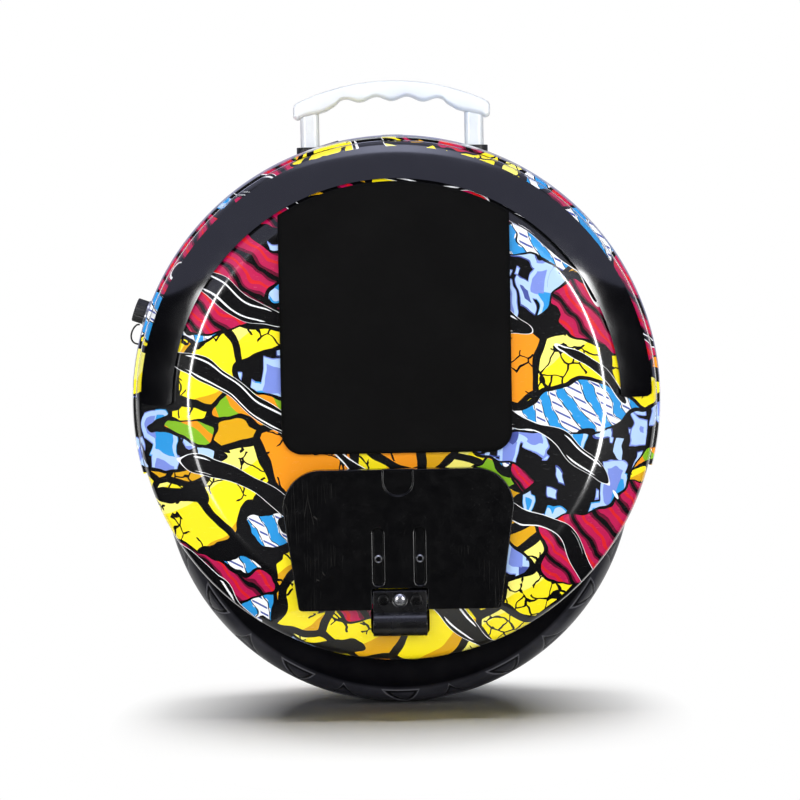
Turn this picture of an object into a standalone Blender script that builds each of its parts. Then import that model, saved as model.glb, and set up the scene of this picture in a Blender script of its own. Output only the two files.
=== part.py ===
"""Electric unicycle with folding pedals and a telescopic handle.

Metres, +Z up, +X forward. The origin is on the ground under the wheel's centre, and the wheel
turns about an axle along Y. The right-hand side faces -Y.
"""

import math

import bmesh
import bpy
from mathutils import Matrix, Vector

# Clearances
SEAT = 0.0003  # between pieces that rest on each other
SLIDE = 0.0003  # between pieces that slide or turn in each other
WHEEL_GAP = 0.0040  # between the tyre and the side plates
ARCH_GAP = 0.006  # between the tread and the wheel arch
PAST = 0.010  # how far a cut runs past what it goes through
EDGE = 0.0006  # broken edges of small pieces

# Wheel
TYRE_R = 0.1775
TYRE_W = 0.052
BEAD_R = 0.1275
BEAD_HALF = 0.0200
TYRE_WALL = 0.0045
TREAD_PITCHES = 20
TREAD_DEPTH = 0.0018
TREAD_EDGE = 0.0016
RIM_WALL = 0.0035
FLANGE_H = 0.0060  # above the bead's seat
FLANGE_W = 0.0025
FLANGE_GAP = 0.0015  # below the turn of the tyre's side
RIM_HALF = 0.0228
SPOKE_HALF = 0.005  # half width of the web between the rim and the motor's ring
MOTOR_R = 0.1040
MOTOR_WALL = 0.004
MOTOR_HALF = 0.0265  # half of the hub's width over its covers
COVER_T = 0.0032
COVER_FLAT_R = 0.042
COVER_SLOPE_R = 0.088  # where the cover's slope turns down to its rim
COVER_FALL = 0.0012  # from the flat to there
COVER_MARGIN = 0.001  # inside the motor ring's edge
COVER_LAP = 0.004  # how far the cover reaches inside the ring's wall
BEARING_SINK = 0.0015  # below the cover's face
BEARING_RIM = 0.006  # wall of the boss round the bearing
MAGNET_T = 0.003
MAGNET_W = 0.026
AIR_GAP = 0.0008
STATOR_DEPTH = 0.022
STATOR_SLOTS = 15
TOOTH_SHARE = 0.54  # of a slot's pitch, at the stator's rim
SLOT_SHARE = 0.32  # of the pitch, at the slot's floor
AXLE_R = 0.008
AXLE_CORE_R = 0.012
AXLE_HALF = 0.0580
AXLE_CHAMFER = 0.001
BEARING_OD = 0.035
BEARING_W = 0.010
NUT_ACROSS = 0.024
NUT_T = 0.008
VALVE_R = 0.0042
VALVE_BORE_R = 0.0022
VALVE_Y = 0.0105
VALVE_END_GAP = 0.0045  # from the stem's end to the motor's ring
VALVE_ROOT = 0.0035  # how far the stem reaches into the tube
TUBE_SLACK = 0.0025  # between the inner tube and the tyre
TUBE_SKIN = 0.0018

# Shells, turned about a line along Y that lies above the axle
SHELL_RISE = 0.0538
SHELL_OVER_TYRE = 0.0148  # how much larger the shells' radius is than the tyre's
SHELL_HALF = 0.072
SHELL_WALL = 0.003
CONE_RUN = 0.0385  # from the flat's rim to the shoulder
CREASE_FILLET = 0.016
CONE_DEG = 22.0
SHOULDER_SET = 0.0048  # from the shoulder to the shell's rim
STEPS = 48  # facets round the shells, the band and what is cut to fit them
PLATE_T = 0.0025
PLATE_HOLE_R = 0.0215
SLOT_EDGE = 0.0018  # round the hanger's foot
SLOT_CORNER = 0.004

# Band over the wheel
BAND_HALF = 0.0502
BAND_STEP = 0.0030  # proud of the shells' rims
BAND_CROWN = 0.0027
BAND_T = 0.003
BAND_LAP = 0.0005  # over the shells' rims
BAND_DIP_DEG = 15.0  # how far the band's ends pass below the shells' centre
ARCH_T = 0.0025
ARCH_END_DEG = 5.0

# Light covers on the cones
LIGHT_W = 0.0237
LIGHT_MARGIN = 0.0003  # inside the shoulder
LIGHT_RISE = 0.0028
LIGHT_BEVEL = 0.0018
LIGHT_CORNER = 0.0035
LIGHT_END_DEG = 0.5
LIGHT_END_STOPS = (0.15, 0.5, 1.0, 1.6)  # sections near each end, in corner radii
STRIP_W = 0.0090
STRIP_SET = 0.0072  # inside the cover's outer edge
STRIP_T = 0.0008
STRIP_POCKET = 0.0014

# Leg pads
PAD_W = 0.1686
PAD_PEDAL_GAP = 0.0112
PAD_T = 0.012
PAD_CORNER = 0.0155
PAD_TOP_GAP = 0.001
PAD_CROWN = 0.0016
PAD_EDGE = 0.0035  # roll of the pad's rim

# Pedals, folded up
PEDAL_BACK_GAP = 0.0043  # between a folded pedal and the shell
PEDAL_T = 0.0117
FOOT_CLEAR = 0.0014  # from the hanger's foot up to the pedal
PEDAL_H = 0.1030
PEDAL_BOTTOM_W = 0.1485
PEDAL_W = 0.1690
PEDAL_CORNER = 0.028
PEDAL_FOOT_R = 0.003
PEDAL_BEVEL = 0.0016
HINGE_RISE = 0.0072
NOTCH_W = 0.0406
NOTCH_H = 0.0165
NOTCH_CORNER = 0.0015
GROOVE_X = 0.0152
GROOVE_W = 0.0066
GROOVE_H = 0.0420
GROOVE_DEPTH = 0.0024
GROOVE_RISE = 0.0016  # above the notch
GROOVE_HOLE_R = 0.0020
GROOVE_HOLE_DEPTH = 0.0053
GROOVE_HOLE_RISE = 0.0373
TAB_W = 0.0220
TAB_H = 0.0196
TAB_DEPTH = 0.0040
MAT_EDGE = 0.0095
MAT_T = 0.0022
MAT_BASE_T = 0.0013
MAT_CORNER = 0.003
MAT_BARS = 6
MAT_BAR_H = 0.0040
MAT_SUNK = 0.0014
MAT_RISE = 0.0238
MAGNET_DISC_R = 0.0035
MAGNET_DISC_T = 0.0020
MAGNET_DISC_DROP = 0.0049
PIN_R = 0.003
PIN_HALF = 0.034

# Pedal hangers
FOOT_W = 0.0396
FOOT_RISE = 0.0226  # above the shells' lowest point
FOOT_H = 0.0182
FOOT_PROUD = 0.0050  # outside the pedal
TONGUE_T = 0.0098
TONGUE_REACH = 0.0074
ARM_T = 0.0120
ARM_W = 0.0440
ARM_HEAD_R = 0.0260
ARM_EDGE = 0.0008
ARM_FILLET = 0.0040  # from the arm to the foot
TONGUE_ROUND = 0.0020
PIN_SCREW_X = 0.0122
SCREW_HEAD_R = 0.0040
SCREW_HEAD_T = 0.0022
SCREW_SEAT = 0.0012
SOCKET_R = 0.0019
SOCKET_DEPTH = 0.0014
SLOT_L = 0.0036  # of the cross slot in the detent's head
SLOT_W = 0.0008
SLOT_DEPTH = 0.0012
DETENT_HEAD_R = 0.0048
DETENT_HEAD_T = 0.0024
DETENT_RIM_T = 0.0010

# Telescopic handle, beside the wheel on the left
TUBE_SPACING = 0.1258
TUBE_W = 0.0145
TUBE_D = 0.0090
TUBE_WALL = 0.0012
STAGE_STEP = 0.0050  # each tube ends this far above the one round it
STAGE_HOLD = 0.1110  # what stays inside the next stage when the handle is out
GUIDE_DROP = 0.0246  # below the shell's highest point
HANDLE_TRAVEL = 0.20
COLLAR_WALL = 0.0013
COLLAR_PROUD = 0.0016
GRIP_WALL = 0.0050  # outside each tube
GRIP_D = 0.0220
GRIP_STAND = 0.0427  # above the band
GRIP_ARC_R = 0.1720
GRIP_H = 0.0137
GRIP_END_H = 0.0292
GRIP_SOCKET_HALF = 0.0084  # from a tube's middle to where the grip's end turns down
GRIP_ROUND = 0.0070  # length of the rounding at each end
GRIP_TAPER = 0.0042  # what the section loses there
GRIP_EDGE = 0.0052
SCALLOP_PITCH = 0.0238
SCALLOP_H = 0.0017
SCALLOPS = 4
GRIP_BORE = 0.0102
RELEASE_L = 0.0240
RELEASE_W = 0.0100
RELEASE_DEPTH = 0.0050
RELEASE_TRAVEL = 0.0020
CLAMP_CLEAR = 0.0065  # above the hanger's head
CLAMP_H = 0.0160
CLAMP_T = 0.0030
CLAMP_CORNER = 0.004

# Things on and under the band
BUTTON_R = 0.0085
BUTTON_Y = -0.012
BUTTON_TRAVEL = 0.0020
BUTTON_STEM = 0.0020  # still below the band when the button is out
GAUGE_DEG = 106.0
GAUGE_L = 0.0300
GAUGE_W = 0.0090
GAUGE_T = 0.0045
GAUGE_CORNER = 0.0020
PORT_DEG = 160.3
PORT_R = 0.0065
PORT_BORE_R = 0.0046
PORT_BORE_DEPTH = 0.0110
PORT_PROUD = 0.0070
PORT_FOOT = 0.0140  # how far it reaches in from the band's crown
PORT_FLANGE_R = 0.0098
PORT_FLANGE_T = 0.0014
CAP_R = 0.0090
CAP_ROOF = 0.0034
CAP_RIBS = 18
CAP_RIB = 0.0005
LANYARD_D = 0.0013

# Batteries and electronics
BATTERY_L = 0.0640
BATTERY_H = 0.1300
BATTERY_T = 0.0280
BATTERY_CORNER = 0.006
BATTERY_EDGE = 0.002
BATTERY_DROP = 0.0325  # below the axle
BATTERY_GAP = 0.0060  # from the hanger's arm
BOARD_W = 0.0900
BOARD_H = 0.0700
BOARD_T = 0.0016
BOARD_RISE = 0.0637  # above the shells' centre
BOARD_CORNER = 0.003
POST_R = 0.0035
POST_INSET = 0.0060  # from the board's edges
SINK_MARGIN = 0.0080  # inside the board's edges
SINK_BASE_T = 0.0040
SINK_GAP = 0.0053  # between the fins and the shell
SINK_FINS = 9
FIN_SHARE = 0.45  # of the fins' pitch

# Places worked out from the sizes above
AXLE_Z = TYRE_R
TYRE_SIDE_R = (TYRE_R - TYRE_WALL + BEAD_R) / 2  # where the tyre is widest
WHEEL_STEPS = 2 * TREAD_PITCHES  # facets round the tyre and its rim
FLANGE_R = BEAD_R + FLANGE_H
MAGNET_OUT_R = MOTOR_R - MOTOR_WALL - SEAT
MAGNET_IN_R = MAGNET_OUT_R - MAGNET_T
VALVE_END_R = MOTOR_R + VALVE_END_GAP
TUBE_R = min(TYRE_W / 2 - TYRE_WALL, TYRE_R - TYRE_WALL - TYRE_SIDE_R) - TUBE_SLACK
SHELL_R = TYRE_R + SHELL_OVER_TYRE
SHELL_Z = AXLE_Z + SHELL_RISE
PLATE_IN = TYRE_W / 2 + WHEEL_GAP
PLATE_OUT = PLATE_IN + PLATE_T
WALL_IN = PLATE_OUT + SEAT
SHOULDER_R = SHELL_R - SHOULDER_SET
FLAT_R = SHOULDER_R - CONE_RUN
BAND_EDGE_R = SHELL_R + BAND_STEP
BAND_CROWN_R = BAND_EDGE_R + BAND_CROWN
LIGHT_OUT_R = SHOULDER_R - LIGHT_MARGIN
LIGHT_IN_R = LIGHT_OUT_R - LIGHT_W
STRIP_OUT_R = LIGHT_OUT_R - STRIP_SET
STRIP_IN_R = STRIP_OUT_R - STRIP_W
PORT_TOP_R = BAND_CROWN_R + PORT_PROUD
CAP_TOP_R = PORT_TOP_R + CAP_ROOF
FOOT_LOW_Z = SHELL_Z - SHELL_R + FOOT_RISE
FOOT_TOP_Z = FOOT_LOW_Z + FOOT_H
PEDAL_BOTTOM_Z = FOOT_TOP_Z + FOOT_CLEAR
PEDAL_TOP_Z = PEDAL_BOTTOM_Z + PEDAL_H
PEDAL_OUT = SHELL_HALF + PEDAL_BACK_GAP + PEDAL_T
HINGE_Z = PEDAL_BOTTOM_Z + HINGE_RISE
TONGUE_TOP_Z = HINGE_Z + TONGUE_REACH
GROOVE_HOLE_Z = PEDAL_BOTTOM_Z + GROOVE_HOLE_RISE
MAT_LOW_Z = PEDAL_BOTTOM_Z + MAT_RISE
MAGNET_DISC_Z = PEDAL_TOP_Z - MAGNET_DISC_DROP
PAD_BOTTOM_Z = PEDAL_TOP_Z + PAD_PEDAL_GAP
FOOT_OUT = PEDAL_OUT + FOOT_PROUD
GUIDE_TOP_Z = SHELL_Z + SHELL_R - GUIDE_DROP
GUIDE_LOW_Z = GUIDE_TOP_Z - HANDLE_TRAVEL - STAGE_HOLD
MID_LOW_Z = GUIDE_LOW_Z + STAGE_STEP
TUBE_LOW_Z = MID_LOW_Z + STAGE_STEP
GRIP_TOP_Z = SHELL_Z + BAND_CROWN_R + GRIP_STAND
GRIP_UNDER_Z = GRIP_TOP_Z - GRIP_H
GRIP_LOW_Z = GRIP_TOP_Z - GRIP_END_H
GRIP_BORE_TOP_Z = GRIP_LOW_Z + GRIP_BORE
CLAMP_Z = AXLE_Z + ARM_HEAD_R + CLAMP_CLEAR
BATTERY_LOW_Z = AXLE_Z - BATTERY_DROP
BOARD_Z = SHELL_Z + BOARD_RISE
CONE = math.radians(CONE_DEG)
CREASE_R = FLAT_R + CREASE_FILLET * math.sin(CONE)
CREASE_Y = SHELL_HALF - CREASE_FILLET * (1 - math.cos(CONE))
SHOULDER_Y = CREASE_Y - (SHOULDER_R - CREASE_R) * math.tan(CONE)
SHOULDER_FILLET = (SHELL_R - SHOULDER_R) / (1 - math.sin(CONE))
HINGE_Y = PEDAL_OUT - PEDAL_T / 2
ARM_OUT = WALL_IN + ARM_T
MID_W = TUBE_W + 2 * (SLIDE + TUBE_WALL)
MID_D = TUBE_D + 2 * (SLIDE + TUBE_WALL)
GUIDE_W = MID_W + 2 * (SLIDE + TUBE_WALL)
GUIDE_D = MID_D + 2 * (SLIDE + TUBE_WALL)
TUBE_Y = WALL_IN + GUIDE_D / 2
TUBE_X = TUBE_SPACING / 2
GRIP_HALF = TUBE_X + TUBE_W / 2 + GRIP_WALL
GRIP_TURN_X = TUBE_X - GRIP_SOCKET_HALF
BUTTON_T = BAND_T + BUTTON_TRAVEL + BUTTON_STEM
BOARD_Y = WALL_IN + GUIDE_D

FINISHES = {
    "print": ((0.55, 0.42, 0.10), 0.25, 0.0),
    "gloss_black": ((0.012, 0.012, 0.014), 0.12, 0.0),
    "black_plastic": ((0.02, 0.02, 0.022), 0.5, 0.0),
    "satin_black_metal": ((0.018, 0.018, 0.02), 0.35, 0.6),
    "pad_foam": ((0.02, 0.02, 0.02), 0.85, 0.0),
    "tyre_rubber": ((0.03, 0.03, 0.03), 0.7, 0.0),
    "bare_aluminium": ((0.75, 0.76, 0.78), 0.35, 1.0),
    "steel": ((0.6, 0.6, 0.62), 0.3, 1.0),
    "pearl_white": ((0.86, 0.86, 0.92), 0.3, 0.0),
    "copper": ((0.72, 0.38, 0.2), 0.4, 1.0),
    "board_green": ((0.02, 0.16, 0.07), 0.5, 0.0),
    "battery_wrap": ((0.05, 0.16, 0.42), 0.45, 0.0),
    "lens": ((0.25, 0.27, 0.3), 0.1, 0.0),
}


def clear_scene():
    for obj in list(bpy.data.objects):
        bpy.data.objects.remove(obj, do_unlink=True)


def finish_of(node, finish):
    """A material of the node's own, in one of the machine's finishes."""
    colour, roughness, metallic = FINISHES[finish]
    material = bpy.data.materials.new(node + "_finish")
    material.use_nodes = True
    shader = material.node_tree.nodes["Principled BSDF"]
    shader.inputs["Base Color"].default_value = (*colour, 1.0)
    shader.inputs["Roughness"].default_value = roughness
    shader.inputs["Metallic"].default_value = metallic
    material.diffuse_color = (*colour, 1.0)
    return material


def axis_empty(name, place):
    """An empty on a joint's axis, which the moving pieces hang from."""
    empty = bpy.data.objects.new(name, None)
    empty.location = place
    empty.empty_display_size = 0.02
    bpy.context.scene.collection.objects.link(empty)
    return empty


def made(name, bm, finish=None, body=None, sharp_deg=32.0):
    """Turns a bmesh in world coordinates into an object that hangs from its body's empty."""
    bmesh.ops.remove_doubles(bm, verts=bm.verts, dist=1e-7)
    bmesh.ops.recalc_face_normals(bm, faces=bm.faces)
    mesh = bpy.data.meshes.new(name)
    bm.to_mesh(mesh)
    bm.free()
    mesh.shade_smooth()
    mesh.set_sharp_from_angle(angle=math.radians(sharp_deg))
    obj = bpy.data.objects.new(name, mesh)
    bpy.context.scene.collection.objects.link(obj)
    if body is not None:
        mesh.transform(Matrix.Translation(-body.location))
        obj.parent = body
    if finish:
        mesh.materials.append(finish_of(name, finish))
    return obj


def cutter(name, bm):
    obj = made(name, bm)
    obj.hide_render = True
    obj.display_type = "WIRE"
    return obj


def combine(obj, other, operation="DIFFERENCE"):
    step = obj.modifiers.new(other.name, "BOOLEAN")
    step.operation = operation
    step.solver = "EXACT"
    step.object = other
    return obj


def loft(loops, ring=False):
    """A solid through closed loops that all have as many points."""
    bm = bmesh.new()
    rows = [[bm.verts.new(point) for point in loop] for loop in loops]
    count = len(rows[0])
    last = len(rows) if ring else len(rows) - 1
    for i in range(last):
        here, there = rows[i], rows[(i + 1) % len(rows)]
        for j in range(count):
            k = (j + 1) % count
            bm.faces.new((here[j], here[k], there[k], there[j]))
    if not ring:
        bm.faces.new(rows[0])
        bm.faces.new(list(reversed(rows[-1])))
    return bm


def turned(profile, centre_z, start_deg=0.0, sweep_deg=360.0, steps=STEPS):
    """A profile of (radius, y) points swept round a line along Y, from +X towards +Z."""
    bm = bmesh.new()
    start = math.radians(start_deg)
    axis = Vector((0, 0, centre_z))
    verts = []
    for radius, y in profile:
        place = Vector((radius * math.cos(start), y, radius * math.sin(start)))
        verts.append(bm.verts.new(axis + place))
    full = abs(sweep_deg) >= 360.0
    pairs = [(verts[i - 1], verts[i]) for i in range(len(verts))]
    on_axis = [radius < 1e-9 for radius, y in profile]
    edges = [
        bm.edges.new(pair)
        for i, pair in enumerate(pairs)
        if not (full and on_axis[i - 1] and on_axis[i])
    ]
    geom = verts + edges
    if not full:
        geom.append(bm.faces.new(verts))
    bmesh.ops.spin(
        bm,
        geom=geom,
        cent=axis,
        axis=(0, 1, 0),
        angle=-math.radians(sweep_deg),
        steps=steps,
        use_merge=full,
        use_normal_flip=False,
        use_duplicate=False,
    )
    return bm


def mirrored(profile, side):
    return [(radius, side * y) for radius, y in profile]


def arc(cx, cy, radius, start_deg, end_deg, count):
    """Points on an arc in a plane, both ends included."""
    points = []
    for i in range(count + 1):
        a = math.radians(start_deg + (end_deg - start_deg) * i / count)
        points.append((cx + radius * math.cos(a), cy + radius * math.sin(a)))
    return points


def rounded(width, height, radius, count=3, cx=0.0, cy=0.0):
    """The outline of a rectangle with round corners."""
    points = []
    for sx, sy, start in ((1, 1, 0), (-1, 1, 90), (-1, -1, 180), (1, -1, 270)):
        x = cx + sx * (width / 2 - radius)
        y = cy + sy * (height / 2 - radius)
        points += arc(x, y, radius, start, start + 90, count)
    return points


def circle(cx, cy, radius, sides):
    return arc(cx, cy, radius, 0, 360 - 360 / sides, sides - 1)


def along_y(outline, y0, y1):
    """A prism whose outline is in X and Z."""
    return loft([[Vector((x, y, z)) for x, z in outline] for y in (y0, y1)])


def along_z(outline, z0, z1):
    return loft([[Vector((x, y, z)) for x, y in outline] for z in (z0, z1)])


def along_x(outline, x0, x1):
    """A prism whose outline is in Y and Z."""
    return loft([[Vector((x, y, z)) for y, z in outline] for x in (x0, x1)])


def bevelled(bm, width, segments=1, keep=None):
    """Bevels the edges that keep() picks, or every sharp one."""
    bmesh.ops.remove_doubles(bm, verts=bm.verts, dist=1e-7)
    bmesh.ops.recalc_face_normals(bm, faces=bm.faces)
    edges = [e for e in bm.edges if e.calc_face_angle(0) > math.radians(40)]
    if keep:
        edges = [e for e in edges if keep(e)]
    bmesh.ops.bevel(
        bm, geom=edges, offset=width, segments=segments, profile=0.5, affect="EDGES", material=-1
    )
    return bm


def inset_loop(points, depth):
    """A convex outline moved inwards by depth, with its corners mitred."""
    middle = sum((Vector(p) for p in points), Vector((0, 0))) / len(points)
    moved = []
    for i, point in enumerate(points):
        here = Vector(point)
        before = (here - Vector(points[i - 1])).normalized()
        after = (Vector(points[(i + 1) % len(points)]) - here).normalized()
        normals = []
        for way in (before, after):
            normal = Vector((-way.y, way.x))
            normals.append(normal if normal.dot(middle - here) > 0 else -normal)
        miter = normals[0] + normals[1]
        moved.append(tuple(here + miter * (2 * depth / miter.length_squared)))
    return moved


def shell_surface(inset, shoulder_steps=2, crease_steps=2):
    """(radius, y) points of a shell's outside moved inwards by inset, from its rim to its middle."""
    lean = 90 - CONE_DEG
    wall_top = SHOULDER_Y - SHOULDER_FILLET * math.cos(CONE)
    points = [(SHELL_R - inset, WALL_IN)]
    fillet = SHOULDER_FILLET - inset
    points += arc(SHELL_R - SHOULDER_FILLET, wall_top, fillet, 0, lean, shoulder_steps)
    points += arc(FLAT_R, SHELL_HALF - CREASE_FILLET, CREASE_FILLET - inset, lean, 90, crease_steps)
    points.append((0.0, SHELL_HALF - inset))
    return points


def cone_point(radius, height):
    """The (radius, y) place at a height over the cone, square to it."""
    y = SHOULDER_Y + (SHOULDER_R - radius) * math.tan(CONE)
    return (radius + height * math.sin(CONE), y + height * math.cos(CONE))


def around_shell(sections, side):
    """A solid through (angle, profile) sections round the shells' centre line."""
    loops = []
    for deg, profile in sections:
        a = math.radians(deg)
        loop = [Vector((r * math.cos(a), side * y, SHELL_Z + r * math.sin(a))) for r, y in profile]
        loops.append(loop)
    return loft(loops)


def spread(start, end, count, extra=()):
    """Even steps from start to end, with extra stops near both ends."""
    stops = [start + (end - start) * i / count for i in range(count + 1)]
    for value in extra:
        stops += [start + value, end - value]
    return sorted(stops)


def oval(width, depth, cx, cy, corner=None):
    """The section of a handle tube or of what fits round one."""
    radius = (min(width, depth) / 2 - 1e-5) if corner is None else corner
    return rounded(width, depth, radius, 2, cx, cy)


def side_shell(side, name):
    outside = shell_surface(0)
    profile = outside + list(reversed(shell_surface(SHELL_WALL, 1, 1)))
    shell = made(name, turned(mirrored(profile, side), SHELL_Z), "print")
    slot_w = FOOT_W + 2 * SLOT_EDGE
    slot_h = FOOT_H + 2 * SLOT_EDGE
    outline = rounded(slot_w, slot_h, SLOT_CORNER, 2, 0, FOOT_LOW_Z + FOOT_H / 2)
    slot = along_y(outline, side * WALL_IN, side * (SHELL_HALF + PAST))
    combine(shell, cutter(name + "_slot", slot))
    return shell


def side_plate(side, name):
    outline = circle(0, SHELL_Z, SHELL_R, STEPS)
    plate = made(name, along_y(outline, side * PLATE_IN, side * PLATE_OUT), "black_plastic")
    opening = circle(0, AXLE_Z, PLATE_HOLE_R, 24)
    hole = along_y(opening, side * (PLATE_IN - PAST), side * (PLATE_OUT + PAST))
    return combine(plate, cutter(name + "_hole", hole))


def band_radius(y):
    """The crowned radius of the band's outside."""
    share = abs(y) / BAND_HALF
    return BAND_CROWN_R - (BAND_CROWN_R - BAND_EDGE_R) * share**2


def top_band():
    outside = [(band_radius(y), y) for y in (BAND_HALF * k / 2 for k in range(-2, 3))]
    inner = SHELL_R + BAND_LAP
    inside = [(inner, BAND_HALF), (BAND_CROWN_R - BAND_T, 0), (inner, -BAND_HALF)]
    sweep = 180 + 2 * BAND_DIP_DEG
    bm = turned(outside + inside, SHELL_Z, -BAND_DIP_DEG, sweep, round(STEPS * sweep / 360))
    return made("top_band", bm, "print")


def wheel_arch():
    half = PLATE_IN - SEAT
    inner = TYRE_R + ARCH_GAP
    outer = inner + ARCH_T
    profile = [(inner, -half), (outer, -half), (outer, half), (inner, half)]
    bm = turned(profile, AXLE_Z, ARCH_END_DEG, 180 - 2 * ARCH_END_DEG, 24)
    return made("wheel_arch", bm, "black_plastic")


def light_cover(side, name):
    """A raised arc on the cone, with round ends and a pocket behind it for the row of lights."""
    middle_r = (LIGHT_IN_R + LIGHT_OUT_R) / 2
    first, last = LIGHT_END_DEG, 180 - LIGHT_END_DEG
    corner_deg = math.degrees(LIGHT_CORNER / middle_r)
    near_ends = [corner_deg * stop for stop in LIGHT_END_STOPS]
    sections = []
    for deg in spread(first, last, 24, near_ends):
        run = math.radians(min(deg - first, last - deg)) * middle_r
        short = max(0.0, LIGHT_CORNER - run)
        inset = LIGHT_CORNER - math.sqrt(LIGHT_CORNER**2 - short**2)
        inset = min(inset, 0.9 * LIGHT_CORNER)
        pocket = SEAT + (STRIP_POCKET if run > 1.5 * LIGHT_CORNER else 0.0)
        low, high = LIGHT_IN_R + inset, LIGHT_OUT_R - inset
        profile = [
            cone_point(low, SEAT),
            cone_point(low + LIGHT_BEVEL, LIGHT_RISE),
            cone_point(high - LIGHT_BEVEL, LIGHT_RISE),
            cone_point(high, SEAT),
            cone_point(STRIP_OUT_R + 2 * SEAT, SEAT),
            cone_point(STRIP_OUT_R + 2 * SEAT, pocket),
            cone_point(STRIP_IN_R - 2 * SEAT, pocket),
            cone_point(STRIP_IN_R - 2 * SEAT, SEAT),
        ]
        sections.append((deg, profile))
    return made(name, around_shell(sections, side), "gloss_black")


def light_strip(side, name):
    profile = [
        cone_point(STRIP_IN_R, SEAT),
        cone_point(STRIP_OUT_R, SEAT),
        cone_point(STRIP_OUT_R, SEAT + STRIP_T),
        cone_point(STRIP_IN_R, SEAT + STRIP_T),
    ]
    clear = math.degrees(2.5 * LIGHT_CORNER / STRIP_IN_R)
    stops = spread(LIGHT_END_DEG + clear, 180 - LIGHT_END_DEG - clear, 24)
    return made(name, around_shell([(deg, profile) for deg in stops], side), "lens")


def pad_outline():
    top_r = LIGHT_IN_R - PAD_TOP_GAP
    reach = math.degrees(math.acos(PAD_W / 2 / top_r))
    points = arc(0, SHELL_Z, top_r, reach, 180 - reach, 10)
    x = PAD_W / 2 - PAD_CORNER
    z = PAD_BOTTOM_Z + PAD_CORNER
    points += arc(-x, z, PAD_CORNER, 180, 270, 4)
    points += arc(x, z, PAD_CORNER, 270, 360, 4)
    return points


def leg_pad(side, name):
    """A crowned foam pad that lies on the flat and laps over the crease to the light cover."""
    outline = pad_outline()
    top = SHELL_HALF + PAD_T
    edge = top - PAD_CROWN
    rim = (
        (0.0, SHELL_HALF - PAST),
        (0.0, edge - PAD_EDGE),
        (0.35 * PAD_EDGE, edge - 0.4 * PAD_EDGE),
        (PAD_EDGE, edge),
    )
    loops = []
    for depth, y in rim:
        loops.append([Vector((px, side * y, pz)) for px, pz in inset_loop(outline, depth)])
    middle = sum(loops[-1], Vector()) / len(outline)
    for share, rise in ((0.8, 0.6), (0.45, 1.0)):
        lift = Vector((0, side * rise * PAD_CROWN, 0))
        loops.append([middle + (point - middle) * share + lift for point in loops[len(rim) - 1]])
    pad = made(name, loft(loops), "pad_foam")
    core = [(0.0, WALL_IN)] + shell_surface(-SEAT)
    return combine(pad, cutter(name + "_back", turned(mirrored(core, side), SHELL_Z)))


def lathe(profile, origin, axis, steps, phase=0.0):
    """A closed solid turned about an axis: (radius, height) points that start and end on it."""
    axis = Vector(axis).normalized()
    across = axis.orthogonal().normalized()
    across = Matrix.Rotation(phase, 3, axis) @ across
    base = Vector(origin)
    bm = bmesh.new()
    verts = [bm.verts.new(base + axis * h + across * r) for r, h in profile]
    edges = [bm.edges.new(pair) for pair in zip(verts, verts[1:])]
    bmesh.ops.spin(
        bm,
        geom=verts + edges,
        cent=base,
        axis=axis,
        angle=math.tau,
        steps=steps,
        use_merge=True,
        use_duplicate=False,
    )
    return bm


def rod(radius, start, end, sides=16, chamfer=0.0):
    start, end = Vector(start), Vector(end)
    length = (end - start).length
    profile = [(0, 0), (radius - chamfer, 0)]
    if chamfer:
        profile += [(radius, chamfer), (radius, length - chamfer)]
    profile += [(radius - chamfer, length), (0, length)]
    return lathe(profile, start, end - start, sides)


def merged(*parts):
    """Several meshes that don't touch, as one."""
    whole = bmesh.new()
    for bm in parts:
        bmesh.ops.recalc_face_normals(bm, faces=bm.faces)
        mesh = bpy.data.meshes.new("part")
        bm.to_mesh(mesh)
        bm.free()
        whole.from_mesh(mesh)
        bpy.data.meshes.remove(mesh)
    return whole


def tilted(bm, deg):
    """Turns what was made on top of the shells to another place round them."""
    turn = Matrix.Rotation(-math.radians(deg - 90), 4, "Y")
    centre = Vector((0, 0, SHELL_Z))
    matrix = Matrix.Translation(centre) @ turn @ Matrix.Translation(-centre)
    bmesh.ops.transform(bm, matrix=matrix, verts=bm.verts)
    return bm


def tyre_outline(inset, stops, side_stops):
    """(radius, y) points of the tyre's outside on its left half, from the crown to the bead."""
    points = []
    for k in range(stops):
        a = math.radians(90 * k / stops)
        radius = TYRE_SIDE_R + (TYRE_R - TYRE_SIDE_R - inset) * math.cos(a) ** 0.75
        points.append((radius, (TYRE_W / 2 - inset) * math.sin(a)))
    low = FLANGE_R + FLANGE_GAP
    for k in range(side_stops + 1):
        a = math.radians(90 * k / side_stops)
        radius = TYRE_SIDE_R - (TYRE_SIDE_R - low) * math.sin(a)
        y = BEAD_HALF + (TYRE_W / 2 - BEAD_HALF) * math.cos(a) - inset
        points.append((radius, y))
    points.append((BEAD_R, BEAD_HALF - inset))
    return points


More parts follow.
